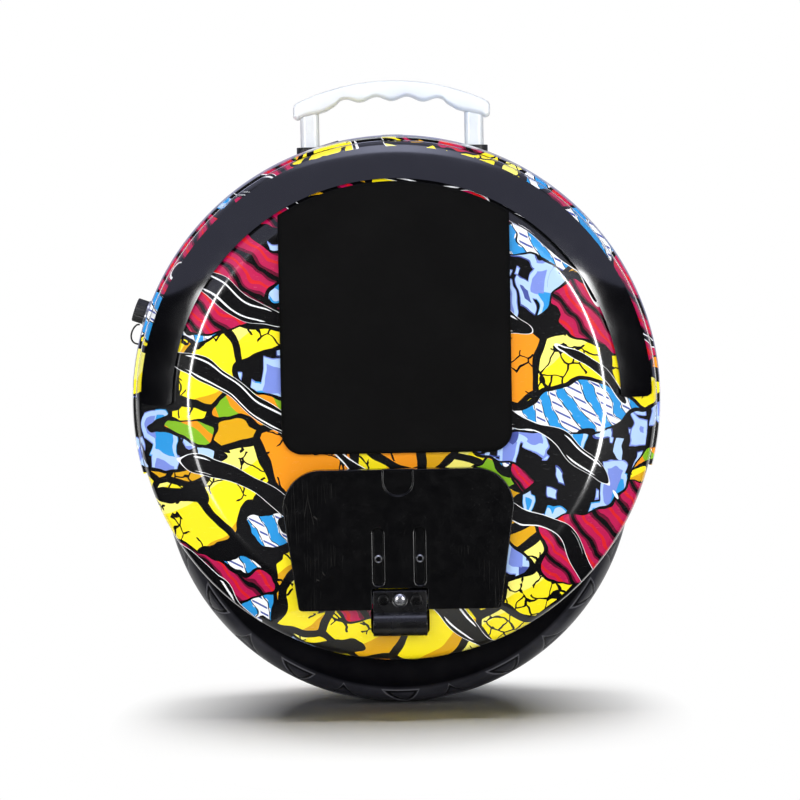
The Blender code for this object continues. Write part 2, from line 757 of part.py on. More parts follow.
def tyre(body):
    outside = tyre_outline(0, 3, 1)
    inside = tyre_outline(TYRE_WALL, 2, 1)
    profile = outside + list(reversed(inside))
    profile += [(r, -y) for r, y in inside[1:]] + [(r, -y) for r, y in reversed(outside[1:])]
    bm = turned(profile, AXLE_Z, steps=WHEEL_STEPS)
    bmesh.ops.remove_doubles(bm, verts=bm.verts, dist=1e-7)
    bmesh.ops.recalc_face_normals(bm, faces=bm.faces)
    bm.faces.ensure_lookup_table()
    low, high = outside[2][0], outside[1][0]
    blocks = []
    for face in bm.faces:
        centre = face.calc_center_median()
        radius = math.hypot(centre.x, centre.z - AXLE_Z)
        if not low < radius < high or face.normal.dot(centre - Vector((0, 0, AXLE_Z))) < 0:
            continue
        turn = math.degrees(math.atan2(centre.z - AXLE_Z, centre.x)) % 360
        place = int(turn / (180 / TREAD_PITCHES))
        if place % 2 == (centre.y > 0):
            blocks.append(face)
    bmesh.ops.inset_individual(bm, faces=blocks, thickness=TREAD_EDGE, depth=-TREAD_DEPTH)
    return made("tyre", bm, "tyre_rubber", body, 40)


def inner_tube(body):
    outside = circle(TYRE_SIDE_R, 0, TUBE_R, 8)
    inside = circle(TYRE_SIDE_R, 0, TUBE_R - TUBE_SKIN, 8)
    tube = made("inner_tube", turned(outside, AXLE_Z, steps=TREAD_PITCHES), "tyre_rubber", body)
    combine(tube, cutter("inner_tube_air", turned(inside, AXLE_Z, steps=TREAD_PITCHES)))
    root = TYRE_SIDE_R - TUBE_R + TUBE_SKIN + VALVE_ROOT
    stem = rod(VALVE_R, (root, VALVE_Y, AXLE_Z), (VALVE_END_R, VALVE_Y, AXLE_Z), 12)
    combine(tube, cutter("inner_tube_stem", stem), "UNION")
    deep = TYRE_SIDE_R - VALVE_R
    out = VALVE_END_R - VALVE_R
    bore = rod(VALVE_BORE_R, (deep, VALVE_Y, AXLE_Z), (out, VALVE_Y, AXLE_Z), 8)
    return combine(tube, cutter("inner_tube_bore", bore))


def hub_rim(body):
    seat = BEAD_R - SEAT
    wall = BEAD_HALF + SEAT
    half = [
        (seat, wall),
        (FLANGE_R, wall),
        (FLANGE_R, wall + FLANGE_W),
        (seat - RIM_WALL, wall + FLANGE_W),
        (seat - RIM_WALL, SPOKE_HALF),
        (MOTOR_R, SPOKE_HALF),
        (MOTOR_R, RIM_HALF),
        (MOTOR_R - MOTOR_WALL, RIM_HALF),
    ]
    profile = half + [(r, -y) for r, y in reversed(half)]
    rim = made("hub_rim", turned(profile, AXLE_Z, steps=WHEEL_STEPS), "bare_aluminium", body)
    below = seat - RIM_WALL - VALVE_R
    hole = rod(VALVE_R + SEAT, (BEAD_R, VALVE_Y, AXLE_Z), (below, VALVE_Y, AXLE_Z), 12)
    return combine(rim, cutter("hub_rim_valve_hole", hole))


def motor_cover(side, name, body):
    bore = BEARING_OD / 2 + SEAT
    land = RIM_HALF + SEAT
    boss = bore + BEARING_RIM
    floor = MOTOR_HALF - BEARING_SINK - BEARING_W
    slope = MOTOR_HALF - COVER_FALL
    rim = MOTOR_R - COVER_MARGIN
    profile = [
        (bore, floor),
        (bore, MOTOR_HALF),
        (COVER_FLAT_R, MOTOR_HALF),
        (COVER_SLOPE_R, slope),
        (rim, land + COVER_MARGIN),
        (rim, land),
        (MOTOR_R - MOTOR_WALL - COVER_LAP, land),
        (COVER_SLOPE_R, slope - COVER_T),
        (boss, slope - COVER_T),
        (boss, floor),
    ]
    return made(name, turned(mirrored(profile, side), AXLE_Z, steps=24), "bare_aluminium", body)


def bearing(side, name, body):
    inner, outer = AXLE_R + SLIDE, BEARING_OD / 2
    y1 = MOTOR_HALF - BEARING_SINK
    y0 = y1 - BEARING_W
    profile = [(inner, y0), (inner, y1), (outer, y1), (outer, y0)]
    return made(name, turned(mirrored(profile, side), AXLE_Z, steps=24), "steel", body)


def magnet_ring(body):
    half = MAGNET_W / 2
    profile = [(MAGNET_IN_R, -half), (MAGNET_IN_R, half), (MAGNET_OUT_R, half), (MAGNET_OUT_R, -half)]
    return made("magnet_ring", turned(profile, AXLE_Z, steps=WHEEL_STEPS), "steel", body)


def stator():
    """The wound core: teeth towards the magnets, and slots between them."""
    tip = MAGNET_IN_R - AIR_GAP
    floor = tip - STATOR_DEPTH
    pitch = 360 / STATOR_SLOTS
    corners = (
        (tip, -TOOTH_SHARE / 2),
        (tip, TOOTH_SHARE / 2),
        (floor, (1 - SLOT_SHARE) / 2),
        (floor, (1 + SLOT_SHARE) / 2),
    )
    outline = []
    for i in range(STATOR_SLOTS):
        for radius, share in corners:
            a = math.radians(pitch * (i + share))
            outline.append((radius * math.cos(a), AXLE_Z + radius * math.sin(a)))
    half = MAGNET_W / 2 - SEAT
    core = made("stator", along_y(outline, -half, half), "copper")
    bore = rod(AXLE_CORE_R + SEAT, (0, -half - PAST, AXLE_Z), (0, half + PAST, AXLE_Z), 16)
    return combine(core, cutter("stator_bore", bore))


def axle():
    core = MOTOR_HALF - BEARING_SINK - BEARING_W - SEAT
    end = AXLE_HALF
    half = [
        (AXLE_CORE_R, core),
        (AXLE_R, core),
        (AXLE_R, end - AXLE_CHAMFER),
        (AXLE_R - AXLE_CHAMFER, end),
        (0, end),
    ]
    profile = [(radius, -y) for radius, y in reversed(half)] + half
    return made("axle", lathe(profile, (0, 0, AXLE_Z), (0, 1, 0), 16), "steel")


def axle_nut(side, name):
    radius = NUT_ACROSS / 2 / math.cos(math.pi / 6)
    y0 = side * (ARM_OUT + SEAT)
    y1 = side * (ARM_OUT + SEAT + NUT_T)
    nut = made(name, bevelled(along_y(circle(0, AXLE_Z, radius, 6), y0, y1), EDGE), "steel")
    past = side * PAST
    bore = rod(AXLE_R + SEAT, (0, y0 - past, AXLE_Z), (0, y1 + past, AXLE_Z), 16)
    return combine(nut, cutter(name + "_bore", bore))


def hanger(side, name):
    """The arm that hangs from the axle, and the foot and tongue that carry the pedal."""
    tip = FOOT_H / 2
    nose_y, nose_z = FOOT_OUT - tip, FOOT_LOW_Z + tip
    face, back = HINGE_Y + TONGUE_T / 2, HINGE_Y - TONGUE_T / 2
    lift = math.degrees(math.acos((face - nose_y) / tip))
    inner = WALL_IN + ARM_EDGE
    outer = ARM_OUT - ARM_EDGE
    top = TONGUE_TOP_Z - TONGUE_ROUND
    outline = [(inner, FOOT_LOW_Z)]
    outline += arc(nose_y, nose_z, tip, -90, lift, 6)
    outline += arc(face - TONGUE_ROUND, top, TONGUE_ROUND, 0, 90, 2)
    outline += arc(back + TONGUE_ROUND, top, TONGUE_ROUND, 90, 180, 2)
    outline += [(back, FOOT_TOP_Z), (outer + ARM_FILLET, FOOT_TOP_Z)]
    outline += [(outer, FOOT_TOP_Z + ARM_FILLET), (inner, FOOT_TOP_Z + ARM_FILLET)]
    half = FOOT_W / 2
    foot = bevelled(
        along_x([(side * y, z) for y, z in outline], -half, half),
        EDGE,
        keep=lambda e: abs(e.verts[0].co.x - e.verts[1].co.x) < 1e-7,
    )
    shape = [(half, FOOT_LOW_Z)]
    shape += arc(0, AXLE_Z, ARM_HEAD_R, -50, 230, 12)
    shape += [(-half, FOOT_LOW_Z)]
    arm_y = sorted((side * WALL_IN, side * ARM_OUT))
    piece = made(name, bevelled(along_y(shape, *arm_y), ARM_EDGE), "satin_black_metal")
    combine(piece, cutter(name + "_foot", foot), "UNION")
    bore = rod(AXLE_R + SEAT, (0, arm_y[0] - PAST, AXLE_Z), (0, arm_y[1] + PAST, AXLE_Z), 16)
    combine(piece, cutter(name + "_bore", bore))
    reach = half + PAST
    y = side * HINGE_Y
    pin_bore = rod(PIN_R + SLIDE, (-reach, y, HINGE_Z), (reach, y, HINGE_Z), 12)
    combine(piece, cutter(name + "_pin_bore", pin_bore))
    seats = []
    for x, radius in screw_places():
        start = (x, side * (face - SCREW_SEAT), HINGE_Z)
        seats.append(rod(radius + SEAT, start, (x, side * (face + PAST), HINGE_Z), 14))
    return combine(piece, cutter(name + "_screw_seats", merged(*seats)))


def screw_places():
    return (
        (-PIN_SCREW_X, SCREW_HEAD_R),
        (PIN_SCREW_X, SCREW_HEAD_R),
        (0.0, DETENT_HEAD_R),
    )


def socket_screw(side, x, name):
    """A cap screw in the tongue's face, with a six-sided socket."""
    floor = HINGE_Y + TONGUE_T / 2 - SCREW_SEAT + SEAT
    profile = [
        (0, 0),
        (SCREW_HEAD_R, 0),
        (SCREW_HEAD_R, SCREW_HEAD_T - EDGE),
        (SCREW_HEAD_R - EDGE, SCREW_HEAD_T),
        (0, SCREW_HEAD_T),
    ]
    head = lathe(profile, (x, side * floor, HINGE_Z), (0, side, 0), 14)
    screw = made(name, head, "satin_black_metal")
    top = floor + SCREW_HEAD_T
    outline = circle(x, HINGE_Z, SOCKET_R, 6)
    hex_hole = along_y(outline, side * (top - SOCKET_DEPTH), side * (top + PAST))
    return combine(screw, cutter(name + "_socket", hex_hole))


def detent_screw(side, name):
    """The bright domed screw in the middle, with a cross slot."""
    floor = HINGE_Y + TONGUE_T / 2 - SCREW_SEAT + SEAT
    dome = DETENT_HEAD_T - DETENT_RIM_T
    profile = [(0, 0), (DETENT_HEAD_R, 0)]
    for deg in (0, 35, 65):
        a = math.radians(deg)
        profile.append((DETENT_HEAD_R * math.cos(a), DETENT_RIM_T + dome * math.sin(a)))
    profile.append((0, DETENT_HEAD_T))
    head = lathe(profile, (0, side * floor, HINGE_Z), (0, side, 0), 14)
    screw = made(name, head, "steel")
    top = floor + DETENT_HEAD_T
    slot = rounded(SLOT_L, SLOT_W, SLOT_W / 8, 1, 0, HINGE_Z)
    slots = along_y(slot, side * (top - SLOT_DEPTH), side * (top + PAST))
    return combine(screw, cutter(name + "_slot", slots))


def pedal_half_width(z):
    wide_z = PEDAL_TOP_Z - PEDAL_CORNER
    share = min(1.0, (z - PEDAL_BOTTOM_Z) / (wide_z - PEDAL_BOTTOM_Z))
    return (PEDAL_BOTTOM_W + (PEDAL_W - PEDAL_BOTTOM_W) * share) / 2


def pedal_outline(inset=0.0, low=PEDAL_BOTTOM_Z, foot=PEDAL_FOOT_R):
    """The pedal's outline in X and Z, moved inwards by inset, from a lower edge upwards."""
    x = pedal_half_width(low) - inset
    top_x = PEDAL_W / 2 - PEDAL_CORNER
    top_z = PEDAL_TOP_Z - PEDAL_CORNER
    right = arc(x - foot, low + foot, foot, 270, 360, 2)
    right += arc(top_x, top_z, PEDAL_CORNER - inset, 0, 90, 6)
    return right + [(-px, pz) for px, pz in reversed(right)]


def pedal(side, name, body):
    """The cast plate: notch, finger recess, two grooves, and seats for the mat and the magnet."""
    inner = PEDAL_OUT - PEDAL_T
    ends = sorted((side * inner, side * PEDAL_OUT))
    slab = bevelled(along_y(pedal_outline(), *ends), PEDAL_BEVEL, 1)
    piece = made(name, slab, "satin_black_metal", body)
    before, past = side * (inner - PAST), side * (PEDAL_OUT + PAST)
    notch_z = PEDAL_BOTTOM_Z + (NOTCH_H - PAST) / 2
    notch = rounded(NOTCH_W, NOTCH_H + PAST, NOTCH_CORNER, 1, 0, notch_z)
    cuts = [along_y(notch, before, past)]
    top = PEDAL_TOP_Z + PAST
    half = TAB_W / 2
    tab = [(-half, top)] + arc(0, PEDAL_TOP_Z - TAB_H + half, half, 180, 360, 8) + [(half, top)]
    cuts.append(along_y(tab, side * (PEDAL_OUT - TAB_DEPTH), past))
    mat_outline = pedal_outline(MAT_EDGE - SEAT, MAT_LOW_Z - SEAT, MAT_CORNER)
    cuts.append(along_y(mat_outline, before, side * (inner + MAT_SUNK)))
    disc_end = (0, side * (inner + MAGNET_DISC_T + SEAT), MAGNET_DISC_Z)
    cuts.append(rod(MAGNET_DISC_R + SEAT, (0, before, MAGNET_DISC_Z), disc_end, 12))
    low = PEDAL_BOTTOM_Z + NOTCH_H + GROOVE_RISE
    for x in (-GROOVE_X, GROOVE_X):
        r = GROOVE_W / 2
        groove = arc(x, low + GROOVE_H - r, r, 0, 180, 5) + arc(x, low + r, r, 180, 360, 5)
        cuts.append(along_y(groove, side * (PEDAL_OUT - GROOVE_DEPTH), past))
    combine(piece, cutter(name + "_cuts", merged(*cuts)))
    holes = []
    for x in (-GROOVE_X, GROOVE_X):
        start = (x, side * (PEDAL_OUT - GROOVE_HOLE_DEPTH), GROOVE_HOLE_Z)
        holes.append(rod(GROOVE_HOLE_R, start, (x, past, GROOVE_HOLE_Z), 10))
    y = side * HINGE_Y
    pin_end = (-PIN_HALF - SEAT, y, HINGE_Z)
    holes.append(rod(PIN_R + SLIDE, pin_end, (PEDAL_W / 2, y, HINGE_Z), 12))
    return combine(piece, cutter(name + "_holes", merged(*holes)))


def pedal_mat(side, name, body):
    """A rubber mat in the pedal's tread side, with raised bars."""
    floor = PEDAL_OUT - PEDAL_T + MAT_SUNK - SEAT
    outline = pedal_outline(MAT_EDGE, MAT_LOW_Z, MAT_CORNER)
    face = floor - MAT_BASE_T
    mat = made(name, along_y(outline, side * face, side * floor), "tyre_rubber", body)
    bars = []
    pitch = (PEDAL_TOP_Z - MAT_EDGE - MAT_LOW_Z) / MAT_BARS
    for i in range(MAT_BARS):
        z = MAT_LOW_Z + pitch * (i + 0.5)
        half = pedal_half_width(z) - 2 * MAT_EDGE
        if i == MAT_BARS - 1:
            half -= PEDAL_CORNER / 2
        shape = rounded(2 * half, MAT_BAR_H, MAT_BAR_H / 3, 1, 0, z)
        bars.append(along_y(shape, side * (floor - MAT_T), side * (face + MAT_BASE_T / 2)))
    return combine(mat, cutter(name + "_bars", merged(*bars)), "UNION")


def pedal_magnet(side, name, body):
    inner = PEDAL_OUT - PEDAL_T
    start = (0, side * inner, MAGNET_DISC_Z)
    end = (0, side * (inner + MAGNET_DISC_T), MAGNET_DISC_Z)
    return made(name, rod(MAGNET_DISC_R, start, end, 12), "steel", body)


def hinge_pin(side, name, body):
    y = side * HINGE_Y
    pin = rod(PIN_R, (-PIN_HALF, y, HINGE_Z), (PIN_HALF, y, HINGE_Z), 12, EDGE)
    return made(name, pin, "steel", body)


def handle_tube(name, size, x, ends, finish, body):
    """An oval tube, open at both ends."""
    width, depth = size
    low, high = ends
    loops = []
    for wall, z in ((0, low), (0, high), (TUBE_WALL, high), (TUBE_WALL, low)):
        outline = oval(width - 2 * wall, depth - 2 * wall, x, TUBE_Y)
        loops.append([Vector((px, py, z)) for px, py in outline])
    return made(name, loft(loops, ring=True), finish, body, 50)


def handle_hole(width, depth, x, clearance, low=GUIDE_TOP_Z, high=GRIP_LOW_Z):
    return along_z(oval(width + 2 * clearance, depth + 2 * clearance, x, TUBE_Y), low, high)


def collar(name, x):
    """A bush through the band and the left shell, which guides the middle tube."""
    reach = SLIDE + COLLAR_WALL
    outline = oval(MID_W + 2 * reach, MID_D + 2 * reach, x, TUBE_Y)
    bush = made(name, along_z(outline, GUIDE_TOP_Z, GRIP_LOW_Z), "black_plastic")
    high = band_radius(TUBE_Y) + COLLAR_PROUD
    low = SHELL_R - SHELL_WALL - COLLAR_PROUD
    y0, y1 = TUBE_Y - GUIDE_D, TUBE_Y + GUIDE_D
    shell_ring = turned([(low, y0), (high, y0), (high, y1), (low, y1)], SHELL_Z)
    combine(bush, cutter(name + "_limits", shell_ring), "INTERSECT")
    return combine(bush, cutter(name + "_hole", handle_hole(MID_W, MID_D, x, SLIDE)))


def grip_bottom(x):
    """Height of the grip's underside: four finger scallops, and ends that turn down."""
    reach = abs(x)
    half = SCALLOPS / 2 * SCALLOP_PITCH
    wave = -SCALLOP_H * math.cos(math.tau * x / SCALLOP_PITCH) if reach < half else -SCALLOP_H
    level = GRIP_UNDER_Z + wave
    share = min(1.0, max(0.0, (reach - half) / (GRIP_TURN_X - half)))
    return level + (GRIP_LOW_Z - level) * share**1.5


def grip_top(x):
    return GRIP_TOP_Z - GRIP_ARC_R + math.sqrt(GRIP_ARC_R**2 - x**2)


def grip(body):
    """The bar: a section swept from end to end that follows the scallops and rounds off."""
    half = GRIP_HALF
    stops = [SCALLOP_PITCH * k / 4 for k in range(-2 * SCALLOPS, 2 * SCALLOPS + 1)]
    outer = [GRIP_TURN_X - SCALLOP_H, GRIP_TURN_X]
    outer += [half - GRIP_ROUND * share for share in (1.0, 0.36, 0.09, 0.0)]
    stops = [-x for x in reversed(outer)] + stops + outer
    loops = []
    for x in stops:
        left = max(0.0, 1 - (half - abs(x)) / GRIP_ROUND)
        shrink = GRIP_TAPER * (1 - math.sqrt(1 - left**2))
        top, low = grip_top(x) - shrink, grip_bottom(x) + shrink
        depth = GRIP_D - 2 * shrink
        corner = min(GRIP_EDGE, 0.49 * (top - low))
        outline = rounded(depth, top - low, corner, 2, TUBE_Y, (top + low) / 2)
        loops.append([Vector((x, y, z)) for y, z in outline])
    piece = made("grip", loft(loops), "pearl_white", body, 50)
    bores = []
    for x in (-TUBE_X, TUBE_X):
        bores.append(handle_hole(TUBE_W, TUBE_D, x, SEAT, GRIP_LOW_Z - PAST, GRIP_BORE_TOP_Z + SEAT))
    floor = GRIP_TOP_Z - RELEASE_DEPTH - RELEASE_TRAVEL - SLIDE
    slot = oval(RELEASE_L + 2 * SLIDE, RELEASE_W + 2 * SLIDE, 0, TUBE_Y)
    bores.append(along_z(slot, floor, GRIP_TOP_Z + PAST))
    return combine(piece, cutter("grip_bores", merged(*bores)))


def release_button(body):
    outline = oval(RELEASE_L, RELEASE_W, 0, TUBE_Y)
    bm = bevelled(along_z(outline, GRIP_TOP_Z - RELEASE_DEPTH, GRIP_TOP_Z), EDGE)
    return made("release_button", bm, "black_plastic", body)


def tube_clamp():
    """A strap on the left side plate that holds both guide tubes."""
    low, high = WALL_IN, WALL_IN + GUIDE_D + CLAMP_T
    width = TUBE_SPACING + GUIDE_W + 4 * CLAMP_T
    outline = rounded(width, high - low, CLAMP_CORNER, 2, 0, (low + high) / 2)
    strap = made("tube_clamp", along_z(outline, CLAMP_Z, CLAMP_Z + CLAMP_H), "black_plastic")
    holes = [
        handle_hole(GUIDE_W, GUIDE_D, x, SEAT, CLAMP_Z - PAST, CLAMP_Z + CLAMP_H + PAST)
        for x in (-TUBE_X, TUBE_X)
    ]
    return combine(strap, cutter("tube_clamp_holes", merged(*holes)))


def band_top():
    return SHELL_Z + band_radius(BUTTON_Y)


def power_button(body):
    top = band_top()
    bm = rod(BUTTON_R, (0, BUTTON_Y, top - BUTTON_T), (0, BUTTON_Y, top), 18, EDGE)
    return made("power_button", bm, "steel", body)


def battery_gauge():
    outline = rounded(GAUGE_L, GAUGE_W, GAUGE_CORNER, 2, 0, BUTTON_Y)
    bm = bevelled(along_z(outline, band_top() - GAUGE_T, band_top()), EDGE)
    return made("battery_gauge", tilted(bm, GAUGE_DEG), "lens")


def charge_socket():
    seat = BAND_CROWN_R + SEAT
    profile = [
        (0, BAND_CROWN_R - PORT_FOOT),
        (PORT_R, BAND_CROWN_R - PORT_FOOT),
        (PORT_R, seat),
        (PORT_FLANGE_R, seat),
        (PORT_FLANGE_R, seat + PORT_FLANGE_T),
        (PORT_R, seat + PORT_FLANGE_T),
        (PORT_R, PORT_TOP_R),
        (PORT_BORE_R, PORT_TOP_R),
        (PORT_BORE_R, PORT_TOP_R - PORT_BORE_DEPTH),
        (0, PORT_TOP_R - PORT_BORE_DEPTH),
    ]
    bm = lathe(profile, (0, 0, SHELL_Z), (0, 0, 1), 16)
    return made("charge_socket", tilted(bm, PORT_DEG), "steel")


def charge_cap(body):
    """A knurled cap over the socket's nose."""
    low = SHELL_Z + BAND_CROWN_R + SEAT + PORT_FLANGE_T + SEAT
    high = SHELL_Z + CAP_TOP_R
    outline = []
    for i in range(2 * CAP_RIBS):
        radius = CAP_R if i % 2 else CAP_R - CAP_RIB
        a = math.pi * i / CAP_RIBS
        outline.append((radius * math.cos(a), radius * math.sin(a)))
    knurled = along_z(outline, low, high)
    bm = bevelled(knurled, EDGE, keep=lambda e: min(v.co.z for v in e.verts) > high - 1e-6)
    cap = made("charge_cap", tilted(bm, PORT_DEG), "black_plastic", body)
    roof = SHELL_Z + PORT_TOP_R + SEAT
    nose = rod(PORT_R + SLIDE, (0, 0, low - PAST), (0, 0, roof), 16)
    return combine(cap, cutter("charge_cap_bore", tilted(nose, PORT_DEG)))


def lanyard():
    """The thin cord from the cap's rim down to the band, in one loop."""
    stops = (
        (2.8, 0.0038),
        (3.1, 0.0060),
        (4.1, 0.0078),
        (5.3, 0.0082),
        (6.3, 0.0070),
        (6.9, 0.0045),
        (7.0, LANYARD_D / 2 + SEAT),
    )
    route = []
    for turn, rise in stops:
        a = math.radians(PORT_DEG + turn)
        radius = BAND_CROWN_R + rise
        route.append(Vector((radius * math.cos(a), 0, SHELL_Z + radius * math.sin(a))))
    points = smooth_route(route, 20)
    curve = bpy.data.curves.new("lanyard", "CURVE")
    curve.dimensions = "3D"
    curve.bevel_depth = LANYARD_D / 2
    curve.bevel_resolution = 1
    curve.render_resolution_u = 0
    curve.use_fill_caps = True
    spline = curve.splines.new("POLY")
    spline.points.add(len(points) - 1)
    for place, point in zip(spline.points, points):
        place.co = (*point, 1.0)
    cord = bpy.data.objects.new("lanyard", curve)
    bpy.context.scene.collection.objects.link(cord)
    curve.materials.append(finish_of("lanyard", "black_plastic"))
    return cord


def smooth_route(route, count):
    """Points along a smooth curve through the route's own points."""
    points = []
    last = len(route) - 1
    for i in range(count + 1):
        t = last * i / count
        k = min(int(t), last - 1)
        u = t - k
        p0 = route[max(k - 1, 0)]
        p1, p2 = route[k], route[k + 1]
        p3 = route[min(k + 2, last)]
        a = 2 * p1
        b = p2 - p0
        c = 2 * p0 - 5 * p1 + 4 * p2 - p3
        d = 3 * p1 - p0 - 3 * p2 + p3
        points.append((a + b * u + c * u**2 + d * u**3) / 2)
    return points


def battery(name, ahead):
    """A wrapped pack in the right-hand side, against the side plate."""
    middle = ahead * (ARM_W / 2 + BATTERY_GAP + BATTERY_L / 2)
    height = BATTERY_LOW_Z + BATTERY_H / 2
    outline = rounded(BATTERY_L, BATTERY_H, BATTERY_CORNER, 2, middle, height)
    pack = bevelled(along_y(outline, -(WALL_IN + BATTERY_T), -WALL_IN), BATTERY_EDGE)
    return made(name, pack, "battery_wrap")


def control_board():
    """The board on four posts that stand on the left side plate."""
    y = BOARD_Y
    outline = rounded(BOARD_W, BOARD_H, BOARD_CORNER, 1, 0, BOARD_Z)
    board = made("control_board", along_y(outline, y, y + BOARD_T), "board_green")
    posts = []
    for sx in (-1, 1):
        for sz in (-1, 1):
            x = sx * (BOARD_W / 2 - POST_INSET)
            z = BOARD_Z + sz * (BOARD_H / 2 - POST_INSET)
            posts.append(rod(POST_R, (x, WALL_IN, z), (x, y + BOARD_T / 2, z), 8))
    return combine(board, cutter("control_board_posts", merged(*posts)), "UNION")


def heat_sink():
    """A finned plate on the board, fins towards the shell."""
    y0 = BOARD_Y + BOARD_T + SEAT
    y1 = y0 + SINK_BASE_T
    tip = SHELL_HALF - SHELL_WALL - SINK_GAP
    half = BOARD_W / 2 - SINK_MARGIN
    fin = 2 * half * FIN_SHARE / (SINK_FINS - 1 + FIN_SHARE)
    pitch = fin / FIN_SHARE
    outline = [(-half, y0), (half, y0)]
    for i in range(SINK_FINS):
        x = half - pitch * i
        outline += [(x, tip), (x - fin, tip)]
        if i < SINK_FINS - 1:
            outline += [(x - fin, y1), (x - pitch, y1)]
    reach = BOARD_H / 2 - SINK_MARGIN
    bm = along_z(outline, BOARD_Z - reach, BOARD_Z + reach)
    return made("heat_sink", bm, "bare_aluminium")


def cut_band(band, left_shell):
    """Openings in the band and the left shell for what passes through them."""
    seats = []
    for x in (-TUBE_X, TUBE_X):
        reach = SLIDE + COLLAR_WALL + SEAT
        seats.append(handle_hole(MID_W, MID_D, x, reach))
    tubes = cutter("collar_seats", merged(*seats))
    combine(band, tubes)
    combine(left_shell, tubes)
    top = SHELL_Z + BAND_CROWN_R + PAST
    low = SHELL_Z + BAND_EDGE_R - BAND_T - PAST
    hole = rod(BUTTON_R + SLIDE, (0, BUTTON_Y, low), (0, BUTTON_Y, top), 18)
    window = rounded(GAUGE_L + 2 * SEAT, GAUGE_W + 2 * SEAT, GAUGE_CORNER, 2, 0, BUTTON_Y)
    window = tilted(along_z(window, low, top), GAUGE_DEG)
    port = tilted(rod(PORT_R + SEAT, (0, 0, low), (0, 0, top), 16), PORT_DEG)
    return combine(band, cutter("band_openings", merged(hole, window, port)))


def build():
    clear_scene()
    wheel = axis_empty("wheel_axis", (0, 0, AXLE_Z))
    middle = axis_empty("middle_tubes_slide", (0, TUBE_Y, GUIDE_TOP_Z))
    handle = axis_empty("handle_slide", (0, TUBE_Y, GRIP_LOW_Z))
    release = axis_empty("release_slide", (0, TUBE_Y, GRIP_TOP_Z))
    power = axis_empty("power_slide", (0, BUTTON_Y, band_top()))
    port = math.radians(PORT_DEG)
    mouth = (PORT_TOP_R * math.cos(port), 0, SHELL_Z + PORT_TOP_R * math.sin(port))
    cap = axis_empty("cap_slide", mouth)

    shells = {}
    for side, hand in ((-1, "right"), (1, "left")):
        shells[hand] = side_shell(side, "shell_" + hand)
        side_plate(side, "side_plate_" + hand)
        light_cover(side, "light_cover_" + hand)
        light_strip(side, "light_strip_" + hand)
        leg_pad(side, "leg_pad_" + hand)
        hanger(side, "pedal_hanger_" + hand)
        axle_nut(side, "axle_nut_" + hand)
        detent_screw(side, "detent_screw_" + hand)
        for x, place in ((-PIN_SCREW_X, "rear"), (PIN_SCREW_X, "front")):
            socket_screw(side, x, "pin_screw_" + hand + "_" + place)
        hinge = axis_empty("pedal_axis_" + hand, (0, side * HINGE_Y, HINGE_Z))
        pedal(side, "pedal_" + hand, hinge)
        pedal_mat(side, "pedal_mat_" + hand, hinge)
        pedal_magnet(side, "pedal_magnet_" + hand, hinge)
        hinge_pin(side, "hinge_pin_" + hand, hinge)
        motor_cover(side, "motor_cover_" + hand, wheel)
        bearing(side, "bearing_" + hand, wheel)
    cut_band(top_band(), shells["left"])
    wheel_arch()
    axle()
    stator()
    tyre(wheel)
    inner_tube(wheel)
    hub_rim(wheel)
    magnet_ring(wheel)

    stages = (
        ("guide_tube_", (GUIDE_W, GUIDE_D), (GUIDE_LOW_Z, GUIDE_TOP_Z), "steel", None),
        ("mid_tube_", (MID_W, MID_D), (MID_LOW_Z, GUIDE_TOP_Z), "bare_aluminium", middle),
        ("handle_tube_", (TUBE_W, TUBE_D), (TUBE_LOW_Z, GRIP_BORE_TOP_Z), "pearl_white", handle),
    )
    for x, place in ((-TUBE_X, "rear"), (TUBE_X, "front")):
        for name, size, ends, finish, body in stages:
            handle_tube(name + place, size, x, ends, finish, body)
        collar("collar_" + place, x)
    grip(handle)
    release_button(release)
    power_button(power)
    tube_clamp()
    battery_gauge()
    charge_socket()
    charge_cap(cap)
    lanyard()
    battery("battery_rear", -1)
    battery("battery_front", 1)
    control_board()
    heat_sink()


build()
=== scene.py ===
# %% [markdown]
# # An electric unicycle, dressed for its picture
# The engineering model gives every solid of the machine in metres, with the ground at z = 0, the
# wheel's axle along Y and the rider facing +X. The picture looks at the rider's right-hand side,
# so the camera stands on the -Y side. Each step below replaces a plain solid with a finished
# piece, or gives a solid that is right already a better finish.

import math

import bmesh
import bpy
from mathutils import Matrix, Vector


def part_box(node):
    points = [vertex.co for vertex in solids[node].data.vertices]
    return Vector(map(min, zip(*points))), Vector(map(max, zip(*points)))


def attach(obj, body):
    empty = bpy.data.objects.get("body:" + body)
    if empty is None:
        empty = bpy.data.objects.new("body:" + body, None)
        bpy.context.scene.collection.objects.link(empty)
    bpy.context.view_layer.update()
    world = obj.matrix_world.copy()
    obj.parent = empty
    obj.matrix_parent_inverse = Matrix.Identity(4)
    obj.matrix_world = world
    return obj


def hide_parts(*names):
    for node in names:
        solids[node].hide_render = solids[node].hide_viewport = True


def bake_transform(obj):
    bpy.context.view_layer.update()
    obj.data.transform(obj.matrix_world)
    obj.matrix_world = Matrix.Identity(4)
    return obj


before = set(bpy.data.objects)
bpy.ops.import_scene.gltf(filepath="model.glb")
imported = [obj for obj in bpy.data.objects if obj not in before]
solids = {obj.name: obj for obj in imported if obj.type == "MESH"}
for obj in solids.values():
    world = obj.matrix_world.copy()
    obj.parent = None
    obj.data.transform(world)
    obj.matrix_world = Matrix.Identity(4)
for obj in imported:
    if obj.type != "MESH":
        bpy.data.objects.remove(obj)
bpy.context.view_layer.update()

# %% [markdown]
# ## The camera
# A picture of a product is taken from far away with a long lens, so its circles stay circles. The
# lens axis points a little down, because the ground under the wheel is in view. The machine leans
# about one degree to the left in the picture, which a small roll of the camera gives.

